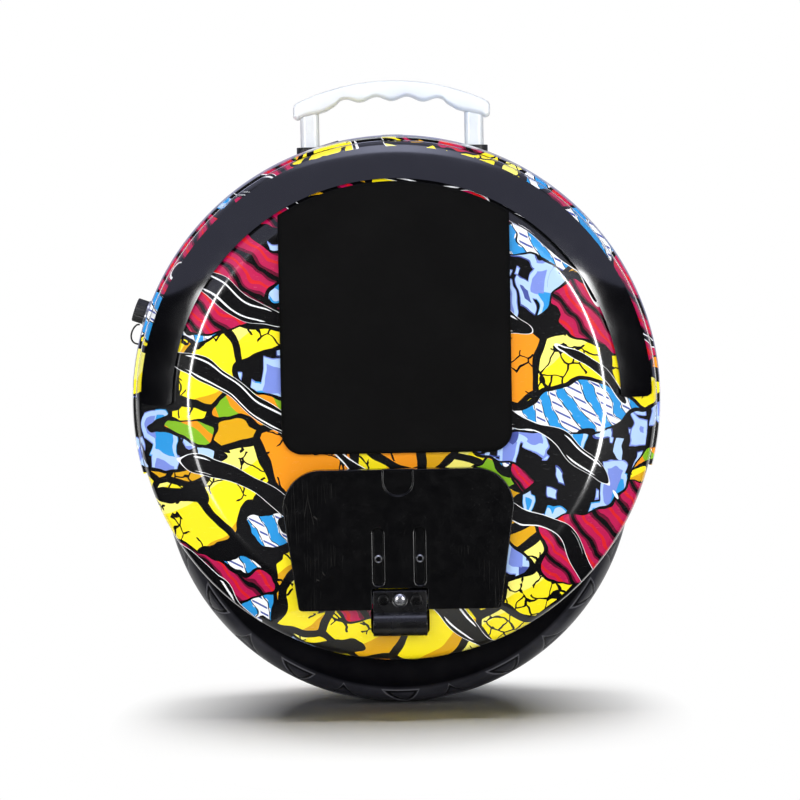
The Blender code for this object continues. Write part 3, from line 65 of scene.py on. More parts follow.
# %% Stand the camera
aim = Vector((0.0026, 0.0, 0.2294))
camera_place = Vector((0.0026, -2.2, 0.364))
camera_data = bpy.data.cameras.new("camera")
camera_data.sensor_width = 36
camera_data.lens = 131
camera = bpy.data.objects.new("camera", camera_data)
bpy.context.scene.collection.objects.link(camera)
look = (aim - camera_place).to_track_quat("-Z", "Y").to_matrix().to_4x4()
roll = Matrix.Rotation(math.radians(-1.0), 4, "Z")
camera.matrix_world = Matrix.Translation(camera_place) @ look @ roll
bpy.context.scene.camera = camera
bpy.context.scene.view_settings.view_transform = "Standard"
print("camera", [round(v, 3) for v in camera.location], "lens", camera_data.lens)

# %% [markdown]
# ## Colours and small helpers for finishes
# Colours are easiest to read off a picture as 0 to 255 numbers, but a shader works with linear
# light, so one helper turns the first into the second. The other helpers add one node and return
# its output, so that a finish reads as a short list of steps.

# %% Turn picture colours into linear light
def tint(red, green, blue):
    values = [v / 255 for v in (red, green, blue)]
    linear = [v / 12.92 if v <= 0.04045 else ((v + 0.055) / 1.055) ** 2.4 for v in values]
    return (*linear, 1.0)


print("mid grey", [round(v, 3) for v in tint(128, 128, 128)])

# %% Start a finish with its shader
def new_finish(name, colour, roughness, metallic=0.0, coat=0.0):
    finish = bpy.data.materials.new(name)
    finish.use_nodes = True
    finish.diffuse_color = colour
    shader = finish.node_tree.nodes["Principled BSDF"]
    shader.inputs["Base Color"].default_value = colour
    shader.inputs["Roughness"].default_value = roughness
    shader.inputs["Metallic"].default_value = metallic
    shader.inputs["Coat Weight"].default_value = coat
    shader.inputs["Coat Roughness"].default_value = 0.06
    return finish


def shader_of(finish):
    return finish.node_tree.nodes["Principled BSDF"]


# %% Add one node and set its inputs
def add(finish, kind, inputs=None, **settings):
    node = finish.node_tree.nodes.new(kind)
    for key, value in settings.items():
        setattr(node, key, value)
    for key, value in (inputs or {}).items():
        socket = node.inputs[key]
        if isinstance(value, bpy.types.NodeSocket):
            finish.node_tree.links.new(value, socket)
        else:
            socket.default_value = value
    return node


def stretched(finish, point, scale, turn=(0, 0, 0), shift=(0, 0, 0)):
    inputs = {"Vector": point, "Scale": scale, "Rotation": turn, "Location": shift}
    return add(finish, "ShaderNodeMapping", inputs).outputs["Vector"]


def place_of(finish, scale=(1, 1, 1), turn=(0, 0, 0), shift=(0, 0, 0)):
    """The point on the piece in metres, stretched and turned for a pattern."""
    point = add(finish, "ShaderNodeTexCoord").outputs["Object"]
    return stretched(finish, point, scale, turn, shift)


def vectors(finish, operation, first, second=(0, 0, 0), output="Vector"):
    inputs = {0: first, 1: second}
    return add(finish, "ShaderNodeVectorMath", inputs, operation=operation).outputs[output]


def length_of(finish, point):
    return vectors(finish, "LENGTH", point, output="Value")


def noise(finish, point, scale, detail=2.0, rough=0.5):
    inputs = {"Vector": point, "Scale": scale, "Detail": detail, "Roughness": rough}
    return add(finish, "ShaderNodeTexNoise", inputs).outputs["Fac"]


def maths(finish, operation, first, second=0.0, third=0.0):
    inputs = {0: first, 1: second, 2: third}
    return add(finish, "ShaderNodeMath", inputs, operation=operation).outputs[0]


def between(finish, value, low, high, to_low=0.0, to_high=1.0):
    """The value's place between low and high, held inside the ends."""
    inputs = {"Value": value, "From Min": low, "From Max": high}
    inputs.update({"To Min": to_low, "To Max": to_high})
    return add(finish, "ShaderNodeMapRange", inputs).outputs["Result"]


def blend(finish, share, first, second):
    inputs = {0: share, 6: first, 7: second}
    return add(finish, "ShaderNodeMix", inputs, data_type="RGBA").outputs[2]


def wire(finish, output, socket):
    finish.node_tree.links.new(output, shader_of(finish).inputs[socket])


def drift(finish, point, scale, detail, low, high, first, second, rough=0.5):
    """Anything that changes slowly over the piece: two colours, or two values."""
    pattern = noise(finish, point, scale, detail, rough)
    if isinstance(first, tuple):
        return blend(finish, between(finish, pattern, low, high), first, second)
    return between(finish, pattern, low, high, first, second)


def roughen(finish, height, distance, strength=1.0):
    """A bump from a height pattern."""
    inputs = {"Height": height, "Distance": distance, "Strength": strength}
    bump = add(finish, "ShaderNodeBump", inputs)
    wire(finish, bump.outputs["Normal"], "Normal")


print("finish helpers ready")

# %% [markdown]
# ## The printed wrap
# The shells and the band carry a glossy wrap: overlapping flat shapes in yellow, black, crimson,
# blue, lavender, white and green, with black outlines and white contour lines, all drawn over
# each other. This one is an abstract print of the builder's own in the same colours and at the
# same scale. The pattern is solid, like the grain in wood, so it runs from the flat over the cone
# and the rim with no seam. It is built like a screen print, one layer after another: each layer
# has a stencil, which is where a soft noise is high, and a small drawing that shows through it.

# %% Bend space a little, so that no edge is straight
wrap = new_finish("printed_wrap", tint(240, 214, 26), 0.24, coat=1.0)
print_scale = (0.74, 0.74, 0.74)
straight = place_of(wrap, print_scale, shift=(0.52, 0.17, 0.94))


def bent(finish, point, scale, amount):
    """The point pushed about by a soft noise."""
    wobble = add(finish, "ShaderNodeTexNoise", {"Vector": point, "Scale": scale, "Detail": 1.5})
    centred = vectors(finish, "SUBTRACT", wobble.outputs["Color"], (0.5, 0.5, 0.5))
    push = {0: centred, "Scale": amount}
    step = add(finish, "ShaderNodeVectorMath", push, operation="SCALE").outputs[0]
    return vectors(finish, "ADD", point, step)


jagged_space = bent(wrap, straight, 60, 0.012)
print("space bent for", wrap.name)

# %% Cells, and the random number that each one keeps
def cells(finish, point, scale, feature="F1", distance="EUCLIDEAN", exponent=0.5):
    settings = {"feature": feature}
    inputs = {"Vector": point, "Scale": scale}
    if feature == "F1":
        settings["distance"] = distance
    if distance == "MINKOWSKI":
        inputs["Exponent"] = exponent
    return add(finish, "ShaderNodeTexVoronoi", inputs, **settings)


def lot_of(finish, pattern, channel):
    parts = add(finish, "ShaderNodeSeparateColor", {"Color": pattern.outputs["Color"]})
    return parts.outputs[channel]


def chosen(finish, lot, stops):
    """The colour of the last stop that the random number has passed."""
    ramp = add(finish, "ShaderNodeValToRGB", {"Fac": lot})
    ramp.color_ramp.interpolation = "CONSTANT"
    points = ramp.color_ramp.elements
    while len(points) < len(stops):
        points.new(1.0)
    for point, (at, colour) in zip(points, stops):
        point.position = at
        point.color = colour
    return ramp.outputs["Color"]


def above(finish, value, level):
    return maths(finish, "GREATER_THAN", value, level)


def below(finish, value, level):
    return maths(finish, "LESS_THAN", value, level)


def both(finish, first, second):
    return maths(finish, "MULTIPLY", first, second)


def overlaid(art, *steps):
    """Lays one flat ink after another, each where its own pattern is open."""
    for share, colour in steps:
        art = blend(wrap, share, art, colour)
    return art


# %% The inks
ink = tint(7, 7, 9)
yellow = tint(252, 232, 20)
lemon = tint(255, 246, 120)
amber = tint(222, 166, 10)
crimson = tint(186, 14, 78)
plum = tint(104, 6, 44)
scarlet = tint(214, 24, 34)
sky = tint(38, 148, 220)
lavender = tint(122, 142, 222)
slate = tint(70, 84, 160)
pale_blue = tint(178, 208, 250)
leaf = tint(128, 182, 30)
orange = tint(244, 150, 16)
paper = tint(246, 248, 252)

# %% [markdown]
# ## Four small drawings
# A stencil alone would be a flat blot, so each layer has its own drawing: cracked pebbles, shards
# of glass, brush strokes and woven bands. A pebble is one cell of a Voronoi pattern. The pattern
# also gives the cell's centre, and the way from the centre tells where its bright side and its
# shaded side are.

# %% Yellow pebbles with cracks, a bright side and a shaded side
def pebbles_of(finish, point, scale):
    """How far to the lit side a point of its cell lies, the cell's edge and its random number."""
    pattern = cells(finish, point, scale)
    local = vectors(finish, "SUBTRACT", point, pattern.outputs["Position"])
    to_light = (-0.55 * scale, 0.0, 0.85 * scale)
    lit = vectors(finish, "DOT_PRODUCT", local, to_light, "Value")
    edge = cells(finish, point, scale, "DISTANCE_TO_EDGE").outputs["Distance"]
    return lit, edge, lot_of(finish, pattern, 0)


pebble_space = bent(wrap, straight, 34, 0.018)
lit, pebble_edge, pebble_lot = pebbles_of(wrap, pebble_space, 27)
cracks = cells(wrap, bent(wrap, straight, 110, 0.007), 95, "DISTANCE_TO_EDGE").outputs["Distance"]
patchy = noise(wrap, straight, 34, 2)
yellow_parts = overlaid(
    yellow,
    (below(wrap, lit, -0.26), amber),
    (above(wrap, lit, 0.34), lemon),
    (both(wrap, above(wrap, pebble_lot, 0.9), above(wrap, lit, -0.9)), orange),
    (both(wrap, below(wrap, cracks, 0.04), above(wrap, patchy, 0.53)), ink),
    (below(wrap, pebble_edge, 0.055), ink),
)

# %% Lavender shards with pale rims
shard_space = stretched(wrap, jagged_space, (1.5, 1, 0.75), (0, 0.6, 0))
shards = cells(wrap, shard_space, 52, distance="MANHATTAN")
shard_far = shards.outputs["Distance"]
facet_inks = [(0.0, lavender), (0.5, slate), (0.72, pale_blue), (0.84, sky)]
lavender_parts = overlaid(
    chosen(wrap, lot_of(wrap, shards, 2), facet_inks),
    (both(wrap, above(wrap, shard_far, 0.60), below(wrap, shard_far, 0.80)), pale_blue),
    (above(wrap, shard_far, 0.84), ink),
)

# %% Crimson brush strokes, and woven bands of sky blue and white
def stripes(finish, point, scale, wander, turn):
    tilt = stretched(finish, point, (1, 1, 1), turn)
    inputs = {"Vector": tilt, "Scale": scale, "Distortion": wander}
    inputs.update({"Detail": 1.0, "Detail Scale": 0.6})
    return add(finish, "ShaderNodeTexWave", inputs).outputs["Fac"]


strokes = stripes(wrap, jagged_space, 27, 4.5, (0.3, 0.75, 0))
crimson_parts = overlaid(
    crimson,
    (above(wrap, strokes, 0.70), plum),
    (above(wrap, strokes, 0.93), ink),
    (below(wrap, strokes, 0.05), scarlet),
)
bars = stripes(wrap, jagged_space, 30, 5.0, (0, 0.45, 0))
cross_bars = stripes(wrap, jagged_space, 44, 4.0, (0, -1.0, 0))
hatch = below(wrap, stripes(wrap, straight, 85, 1.0, (0, 1.1, 0)), 0.16)
sky_parts = overlaid(
    sky,
    (above(wrap, bars, 0.52), paper),
    (both(wrap, above(wrap, cross_bars, 0.8), above(wrap, bars, 0.4)), paper),
    (both(wrap, below(wrap, bars, 0.62), above(wrap, bars, 0.50)), ink),
    (both(wrap, hatch, above(wrap, bars, 0.75)), slate),
)
print("four small drawings")

# %% [markdown]
# ## Print the layers
# A layer's stencil is open where its noise is above a level. A slightly lower level gives the
# outline, so a black line of changing width runs round each shape, as a brush leaves it.

# %% One layer over another
def printed(art, stencil, level, drawing, line=0.016, line_ink=ink):
    outline, opening = above(wrap, stencil, level - line), above(wrap, stencil, level)
    return overlaid(art, (outline, line_ink), (opening, drawing))


def stencil_of(scale, turn, shift, size, detail):
    return noise(wrap, stretched(wrap, jagged_space, scale, (0, turn, 0), shift), size, detail)


sky_stencil = stencil_of((1, 1, 1.5), 0.5, (0.42, 0.3, 0.11), 11, 0.6)
glass_stencil = stencil_of((1, 1, 1.9), -0.35, (0.77, 0.2, 0.35), 11, 1.0)
brush_stencil = stencil_of((0.8, 1, 1.7), -0.75, (0.13, 0.5, 0.62), 12, 1.2)
leaf_stencil = stencil_of((0.8, 1, 1.5), 0.9, (0.9, 0.1, 0.2), 15, 2.0)
leaf_parts = overlaid(leaf, (above(wrap, strokes, 0.6), orange))
art = printed(yellow_parts, leaf_stencil, 0.665, leaf_parts)
art = printed(art, sky_stencil, 0.565, sky_parts)
art = printed(art, brush_stencil, 0.585, crimson_parts)
art = printed(art, glass_stencil, 0.585, lavender_parts)

# %% A sweep of black tongues with white rims runs over everything
tongue_space = bent(wrap, straight, 22, 0.045)
tongue_space = stretched(wrap, tongue_space, (1.35, 1, 0.42), (0, 0.65, 0), (0.31, 0.62, 0.37))
nudged = place_of(wrap, print_scale, shift=(0.526, 0.17, 0.943))
sweep = stripes(wrap, bent(wrap, nudged, 14, 0.05), 6.5, 5.0, (0.2, 1.05, 0))
tongues = both(wrap, noise(wrap, tongue_space, 22, 1.4, 0.40), 0.4)
tongues = maths(wrap, "MULTIPLY_ADD", sweep, 0.6, tongues)
crest = both(wrap, above(wrap, sweep, 0.90), below(wrap, sweep, 0.935))
contours = both(wrap, crest, above(wrap, tongues, 0.775))
art = printed(art, tongues, 0.742, blend(wrap, contours, ink, paper), 0.007, paper)
wire(wrap, art, "Base Color")

# %% The wrap's film is not quite flat, and is a little worn
film = noise(wrap, straight, 55, 3)
roughen(wrap, film, 0.0002, 0.2)
scuffs = between(wrap, noise(wrap, place_of(wrap, (1, 1, 5)), 160, 3, 0.7), 0.6, 0.8, 0.22, 0.4)
wire(wrap, scuffs, "Roughness")
print(wrap.name, "has", len(wrap.node_tree.nodes), "nodes")

# %% [markdown]
# ## From a bmesh to a piece
# Every finished shape takes the same last steps: its doubles are merged, its faces are turned
# outwards, it gets its finish, it is hung on the body it rides on, and the plain solids that it
# stands for are hidden.

# %% Finish a piece
sides = (("right", -1), ("left", 1))


def smooth(mesh, sharp):
    """Smooth shading between sharp edges, except over flat faces with many corners."""
    mesh.polygons.foreach_set("use_smooth", [len(face.vertices) <= 8 for face in mesh.polygons])
    mesh.set_sharp_from_angle(angle=math.radians(sharp))


def as_object(name, shape):
    mesh = bpy.data.meshes.new(name)
    shape.to_mesh(mesh)
    shape.free()
    made = bpy.data.objects.new(name, mesh)
    bpy.context.scene.collection.objects.link(made)
    return made


def finished(name, shape, finish, body, stands_for=(), sharp=34):
    bmesh.ops.remove_doubles(shape, verts=shape.verts, dist=1e-6)
    bmesh.ops.recalc_face_normals(shape, faces=shape.faces)
    made = as_object(name, shape)
    made.data.materials.append(finish)
    smooth(made.data, sharp)
    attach(made, body)
    if stands_for:
        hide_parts(*stands_for)
    return made


# %% Give a piece one modifier, and keep the result as its plain mesh
def changed(made, kind, **settings):
    change = made.modifiers.new("change", kind)
    for key, value in settings.items():
        setattr(change, key, value)
    graph = bpy.context.evaluated_depsgraph_get()
    fresh = bpy.data.meshes.new_from_object(made.evaluated_get(graph))
    made.modifiers.clear()
    old = made.data
    made.data = fresh
    bpy.data.meshes.remove(old)
    fresh.name = made.name


def cut_from(made, tool, operation="DIFFERENCE", sharp=34):
    bmesh.ops.recalc_face_normals(tool, faces=tool.faces)
    helper = as_object("tool", tool)
    changed(made, "BOOLEAN", object=helper, operation=operation, solver="EXACT")
    bpy.data.meshes.remove(helper.data)
    smooth(made.data, sharp)


def even_shading(made, sharp=60):
    """Lets the broad flats keep their own shading, so that only the edges blend."""
    made.data.polygons.foreach_set("use_smooth", [True] * len(made.data.polygons))
    made.data.set_sharp_from_angle(angle=math.radians(sharp))
    changed(made, "WEIGHTED_NORMAL", keep_sharp=True, weight=100)


# %% [markdown]
# ## Shapes that are turned, and shapes that are pressed out of an outline
# Most of the machine is one or the other. A turned shape starts as a string of vertices, radius
# by radius, that spin carries round an axis along Y. A pressed shape starts as one face in the
# XZ plane, which extrude gives its depth and bevel its soft edges.

# %% Pick out parts of a shape
def verts_in(grown):
    return [v for v in grown if isinstance(v, bmesh.types.BMVert)]


def faces_in(grown):
    return [f for f in grown if isinstance(f, bmesh.types.BMFace)]


def corners_of(faces):
    return list({v for f in faces for v in f.verts})


def rims_of(faces):
    return list({e for f in faces for e in f.edges})


# %% Raise a region, ring by ring
def raised(shape, faces, steps, up):
    """Insets the faces again and again, each time a little higher."""
    for step, rise in steps:
        bmesh.ops.inset_region(shape, faces=faces, thickness=step, use_even_offset=True)
        bmesh.ops.translate(shape, verts=corners_of(faces), vec=rise * Vector(up))


# %% Turn a profile about an axis along Y
def turned(profile, axis_z, steps, start=0.0, sweep=360.0, closed=True):
    shape = bmesh.new()
    a = math.radians(start)
    ring = [shape.verts.new((r * math.cos(a), y, axis_z + r * math.sin(a))) for r, y in profile]
    pairs = list(zip(ring, ring[1:]))
    if closed:
        pairs.append((ring[-1], ring[0]))
    edges = [shape.edges.new(pair) for pair in pairs]
    whole = abs(sweep - 360) < 1e-6
    way = {"cent": (0, 0, axis_z), "axis": (0, -1, 0), "angle": math.radians(sweep)}
    bmesh.ops.spin(shape, geom=ring + edges, steps=steps, use_merge=whole, **way)
    if not whole:
        rims = [e for e in shape.edges if e.is_boundary]
        bmesh.ops.holes_fill(shape, edges=rims, sides=0)
    return shape


# %% Points along an arc, and a rectangle with round corners
def arc(cx, cy, radius, start, end, count):
    turns = [math.radians(start + (end - start) * i / count) for i in range(count + 1)]
    return [(cx + radius * math.cos(a), cy + radius * math.sin(a)) for a in turns]


def rounded(width, height, radius, count=6, cx=0.0, cy=0.0):
    x, y = width / 2 - radius, height / 2 - radius
    corners = ((x, -y, -90), (x, y, 0), (-x, y, 90), (-x, -y, 180))
    return [p for px, py, a in corners for p in arc(cx + px, cy + py, radius, a, a + 90, count)]


# %% Press an outline out between two depths
def pressed(outline, low, high, axis="Y", soft=0.0, segments=3):
    """An outline in the plane across the axis, given depth along it, with its rims bevelled."""
    shape = bmesh.new()
    at = "XYZ".index(axis)
    places = [(*point[:at], low, *point[at:]) for point in outline]
    face = shape.faces.new([shape.verts.new(place) for place in places])
    along = Vector([high - low if i == at else 0.0 for i in range(3)])
    grown = bmesh.ops.extrude_face_region(shape, geom=[face])["geom"]
    bmesh.ops.translate(shape, verts=verts_in(grown), vec=along)
    bmesh.ops.recalc_face_normals(shape, faces=shape.faces)
    if soft:
        flats = [f for f in shape.faces if abs(f.normal.dot(along.normalized())) > 0.99]
        soften(shape, rims_of(flats), soft, segments)
    return shape


def soften(shape, edges, width, segments=3):
    extra = {"profile": 0.5, "affect": "EDGES", "material": -1, "clamp_overlap": True}
    bmesh.ops.bevel(shape, geom=edges, offset=width, segments=segments, **extra)


# %% A rod from one point to another
def rod(radius, start, end, count=24, soft=0.0):
    shape = bmesh.new()
    start, end = Vector(start), Vector(end)
    run = end - start
    size = {"radius1": radius, "radius2": radius, "depth": run.length}
    bmesh.ops.create_cone(shape, cap_ends=True, segments=count, **size)
    turn = run.to_track_quat("Z", "Y").to_matrix().to_4x4()
    turn = Matrix.Translation((start + end) / 2) @ turn
    bmesh.ops.transform(shape, matrix=turn, verts=shape.verts)
    if soft:
        soften(shape, rims_of([f for f in shape.faces if len(f.verts) > 4]), soft, 2)
    return shape


def joined(*shapes):
    """Several shapes in one bmesh."""
    whole = shapes[0]
    for other in shapes[1:]:
        mesh = bpy.data.meshes.new("part")
        other.to_mesh(mesh)
        other.free()
        whole.from_mesh(mesh)
        bpy.data.meshes.remove(mesh)
    return whole


print("shape helpers ready")

# %% [markdown]
# ## The side shells
# Each shell is a shallow dish: a flat disc, a soft crease, a cone that leans back 22 degrees and
# a rounded rim. The real one is vacuum-formed plastic, so nothing on it is sharp. The same
# profile, turned finely, gives the two white streaks where the crease mirrors the studio lamps.

# %% The shells' own sizes
shell_z = 0.2313
shell_r = 0.1923
shell_half = 0.072
shell_wall = 0.003
wall_in = 0.0328
flat_r = 0.149
crease = 0.016
cone = math.radians(22)
shoulder_r = 0.1875
foot_slot_w, foot_slot_h, foot_slot_z = 0.0432, 0.0218, 0.0707
crease_r = flat_r + crease * math.sin(cone)
crease_y = shell_half - crease * (1 - math.cos(cone))
shoulder_y = crease_y - (shoulder_r - crease_r) * math.tan(cone)
shoulder = (shell_r - shoulder_r) / (1 - math.sin(cone))
print("crease ends at radius", round(crease_r, 4), "depth", round(crease_y, 4))

# %% Turn the shells and cut the slot for the pedal hanger's foot
def shell_profile(inset):
    wall_top = shoulder_y - shoulder * math.cos(cone)
    points = [(shell_r - inset, wall_in)]
    points += arc(shell_r - shoulder, wall_top, shoulder - inset, 0, 68, 8)
    points += arc(flat_r, shell_half - crease, crease - inset, 68, 90, 8)
    return points + [(0.0, shell_half - inset)]


for hand, side in sides:
    profile = list(reversed(shell_profile(0))) + shell_profile(shell_wall)
    dish = turned([(r, side * y) for r, y in profile], shell_z, 256, closed=False)
    shell = finished("dish_" + hand, dish, wrap, "chassis", ["shell_" + hand])
    foot_slot = rounded(foot_slot_w, foot_slot_h, 0.004, 6, 0, foot_slot_z)
    cut_from(shell, pressed(foot_slot, side * 0.05, side * 0.09))
    print(shell.name, len(shell.data.polygons), "faces")

# %% [markdown]
# ## The band over the wheel
# The two dishes are joined by a crowned band that laps 3 mm proud of their rims. It is turned
# through 210 degrees, then the holes for the handle's collars, the power button, the battery
# gauge and the charge socket are cut.

# %% Turn the band
band_half = 0.0502
band_edge_r = 0.1953
band_crown_r = 0.198
handle_y = 0.0403
tube_x = 0.0629


def band_radius(y):
    return band_crown_r - (band_crown_r - band_edge_r) * (abs(y) / band_half) ** 2


across = [band_half * k / 14 for k in range(-14, 15)]
rim_soft = 0.0006
skin = [(band_radius(y), y) for y in across[1:-1]]
skin = [(band_edge_r - rim_soft, -band_half)] + skin + [(band_edge_r - rim_soft, band_half)]
lining = [(shell_r + 0.0005, band_half), (band_crown_r - 0.003, 0), (shell_r + 0.0005, -band_half)]
hoop = turned(skin + lining, shell_z, 196, start=-15, sweep=210)
band = finished("band", hoop, wrap, "chassis", ["top_band"])
print("band", len(band.data.polygons), "faces")

# %% Cut the band's openings
def swung(shape, degrees):
    """Turns a shape that was made at the top of the band round to another place on it."""
    turn = Matrix.Rotation(math.radians(90 - degrees), 4, "Y")
    about = Matrix.Translation((0, 0, shell_z)) @ turn @ Matrix.Translation((0, 0, -shell_z))
    bmesh.ops.transform(shape, matrix=about, verts=shape.verts)
    return shape


def oval(width, depth, x, y, count=8):
    return rounded(width, depth, min(width, depth) / 2 - 1e-5, count, x, y)


collar_w, collar_d = 0.0213, 0.0158
button_y = -0.012
port_deg, gauge_deg = 160.3, 106
cut_low, cut_high = 0.41, 0.45


def collar_holes():
    ovals = [oval(collar_w, collar_d, x, handle_y) for x in (-tube_x, tube_x)]
    return [pressed(outline, 0.33, 0.46, "Z") for outline in ovals]


holes = collar_holes()
holes.append(rod(0.0088, (0, button_y, cut_low), (0, button_y, cut_high), 32))
window = pressed(rounded(0.0306, 0.0096, 0.002, 4, 0, button_y), cut_low, cut_high, "Z")
port_hole = rod(0.0068, (0, 0, cut_low), (0, 0, cut_high), 32)
holes += [swung(window, gauge_deg), swung(port_hole, port_deg)]
cut_from(band, joined(*holes))
cut_from(bpy.data.objects["dish_left"], joined(*collar_holes()))
print("openings cut, band has", len(band.data.polygons), "faces")

# %% [markdown]
# ## The light arcs
# On each cone lies a smoked, glossy arc that covers a row of lights. It starts as a flat strip:
# a grid of small faces as long as the arc. Its ends are rounded, its rim is raised with four
# insets, and then every vertex is carried onto the cone, a little higher in the middle of the
# strip. A painted highlight draws a grey line along the inner rim.

# %% Smoked plastic, with a painted highlight along the inner rim
smoke = new_finish("smoked_cover", tint(5, 5, 7), 0.12, coat=1.0)
haze = noise(smoke, place_of(smoke), 45, 4, 0.6)
wire(smoke, between(smoke, haze, 0.35, 0.75, 0.08, 0.16), "Roughness")
smoke_grey = blend(smoke, between(smoke, haze, 0.3, 0.8), tint(4, 4, 6), tint(10, 10, 13))
arc_radius = length_of(smoke, place_of(smoke, (1, 0, 1), shift=(0, 0, -shell_z)))
# Painted highlight: a thin grey ring along the arc's inner rim, where its rounded edge would catch
# the light.
painted_rim_highlight = between(smoke, arc_radius, 0.1640, 0.1644, 1.0, 0.0)
wire(smoke, blend(smoke, painted_rim_highlight, smoke_grey, tint(64, 64, 70)), "Base Color")
roughen(smoke, noise(smoke, place_of(smoke), 30, 2), 0.0004, 0.2)

# %% Make the strip, raise it and bend it onto the cone
light_in, light_out, light_sweep = 0.1635, 0.1872, 179
light_crown, light_corner, light_gap, light_skirt = 0.0006, 0.0035, 0.0003, 0.0010


def onto_cone(radius, height):
    """Radius and depth of a point that stands at this height on the cone."""
    depth = crease_y - (radius - crease_r) * math.tan(cone)
    return radius + height * math.sin(cone), depth + height * math.cos(cone)


def light_arc():
    middle = (light_in + light_out) / 2
    length = middle * math.radians(light_sweep)
    width = light_out - light_in
    strip = bmesh.new()
    bmesh.ops.create_grid(strip, x_segments=300, y_segments=10, size=0.5)
    for vert in strip.verts:
        u, v = vert.co.x * length, vert.co.y * width
        short = max(0.0, light_corner - (length / 2 - abs(u)))
        reach = width / 2 - light_corner + math.sqrt(max(0.0, light_corner**2 - short**2))
        vert.co = (u, v * reach / (width / 2), 0)
    rim_steps = ((0.0004, 0.0011), (0.0005, 0.0008), (0.0008, 0.00058), (0.0004, 0.0002))
    raised(strip, list(strip.faces), rim_steps, (0, 0, 1))
    for vert in strip.verts:
        angle = math.pi / 2 - vert.co.x / middle
        crown = light_crown * (1 - (2 * vert.co.y / width) ** 2)
        radius, depth = onto_cone(middle + vert.co.y, vert.co.z + light_gap + crown)
        vert.co = (radius * math.cos(angle), depth, shell_z + radius * math.sin(angle))
    return strip


for hand, side in sides:
    arc_shape = light_arc()
    rims = [e for e in arc_shape.edges if e.is_boundary]
    base = bmesh.ops.extrude_edge_only(arc_shape, edges=rims)
    bmesh.ops.translate(arc_shape, verts=verts_in(base["geom"]), vec=(0, -light_skirt, 0))
    bmesh.ops.scale(arc_shape, vec=(1, side, 1), verts=arc_shape.verts)
    node = "light_cover_" + hand
    cover = finished("light_arc_" + hand, arc_shape, smoke, "chassis", [node])
    if side * sum(p.normal.y for p in cover.data.polygons) < 0:
        cover.data.flip_normals()
    print(cover.name, len(cover.data.polygons), "faces")

# %% [markdown]
# ## The leg pads
# A rider grips the machine between the shins, so each side has a flat moulded foam pad: a
# straight-sided slab whose top edge follows the light arc. Its skin is matt with a very fine
# grain. It starts as one face with the pad's outline. Insets lay rings inside the rim, each a
# little higher, and the steps between them make the soft roll of the edge and the slight crown.

# %% Foam skin
foam = new_finish("pad_foam", tint(9, 9, 9), 0.85)
shader_of(foam).inputs["Specular IOR Level"].default_value = 0.05
grain_space = place_of(foam)
pebbles = cells(foam, grain_space, 900).outputs["Distance"]
foam_tints = tint(8, 8, 8), tint(11, 11, 11)
wire(foam, drift(foam, grain_space, 30, 5, 0.45, 0.8, *foam_tints, 0.65), "Base Color")
wire(foam, drift(foam, grain_space, 14, 3, 0.3, 0.7, 0.76, 0.9), "Roughness")
roughen(foam, maths(foam, "ADD", pebbles, noise(foam, grain_space, 240, 3)), 0.00012, 0.35)

# %% Lay out the pad's outline
pad_w, pad_low, pad_t = 0.1686, 0.1954, 0.012
pad_corner = 0.0155
pad_top_r = light_in - 0.001
reach = math.degrees(math.acos(pad_w / 2 / pad_top_r))
pad_outline = arc(0, shell_z, pad_top_r, reach, 180 - reach, 40)
pad_outline += [(-pad_w / 2, shell_z + y) for y in (0.09, 0.05, 0.01)]
pad_outline += arc(-pad_w / 2 + pad_corner, pad_low + pad_corner, pad_corner, 180, 270, 12)
pad_outline += [(x, pad_low) for x in (-0.04, 0.0, 0.04)]
pad_outline += arc(pad_w / 2 - pad_corner, pad_low + pad_corner, pad_corner, 270, 360, 12)
pad_outline += [(pad_w / 2, shell_z + y) for y in (0.01, 0.05, 0.09)]
print("pad", round(pad_w * 1000), "mm wide, corner", pad_corner)

# %% Raise each pad ring by ring
pad_roll = ((0.0003, 0.0013), (0.0006, 0.0010), (0.0010, 0.0007), (0.0014, 0.0004))
pad_crown = ((0.95, 0.0003), (0.9, 0.0003), (0.82, 0.0003), (0.8, 0.0002), (0.7, 0.0001))


def leg_pad(side):
    slab = bmesh.new()
    base = shell_half - 0.0078
    top = shell_half + pad_t - 0.0016
    face = slab.faces.new([slab.verts.new((x, side * base, z)) for x, z in pad_outline])
    grown = bmesh.ops.extrude_face_region(slab, geom=[face])["geom"]
    lid = faces_in(grown)
    lift = side * (top - 0.0034 - base)
    bmesh.ops.translate(slab, verts=verts_in(grown), vec=(0, lift, 0))
    raised(slab, lid, pad_roll, (0, side, 0))
    for share, rise in pad_crown:
        lid = faces_in(bmesh.ops.extrude_face_region(slab, geom=lid)["geom"])
        tops = corners_of(lid)
        centre = sum((v.co for v in tops), Vector()) / len(tops)
        move = Matrix.Translation((0, side * rise, 0)) @ Matrix.Translation(centre)
        move = move @ Matrix.Diagonal((share, 1, share, 1)) @ Matrix.Translation(-centre)
        bmesh.ops.transform(slab, matrix=move, verts=tops)
    return slab


for hand, side in sides:
    slab = leg_pad(side)
    core = [(0, 0.03)] + shell_profile(-0.0003) + [(0, 0.0723)]
    shell_core = turned([(r, side * y) for r, y in core], shell_z, 128)
    node = "leg_pad_" + hand
    pad = finished("shin_pad_" + hand, slab, foam, "chassis", [node], sharp=60)
    cut_from(pad, shell_core, sharp=60)
    print(pad.name, len(pad.data.polygons), "faces")
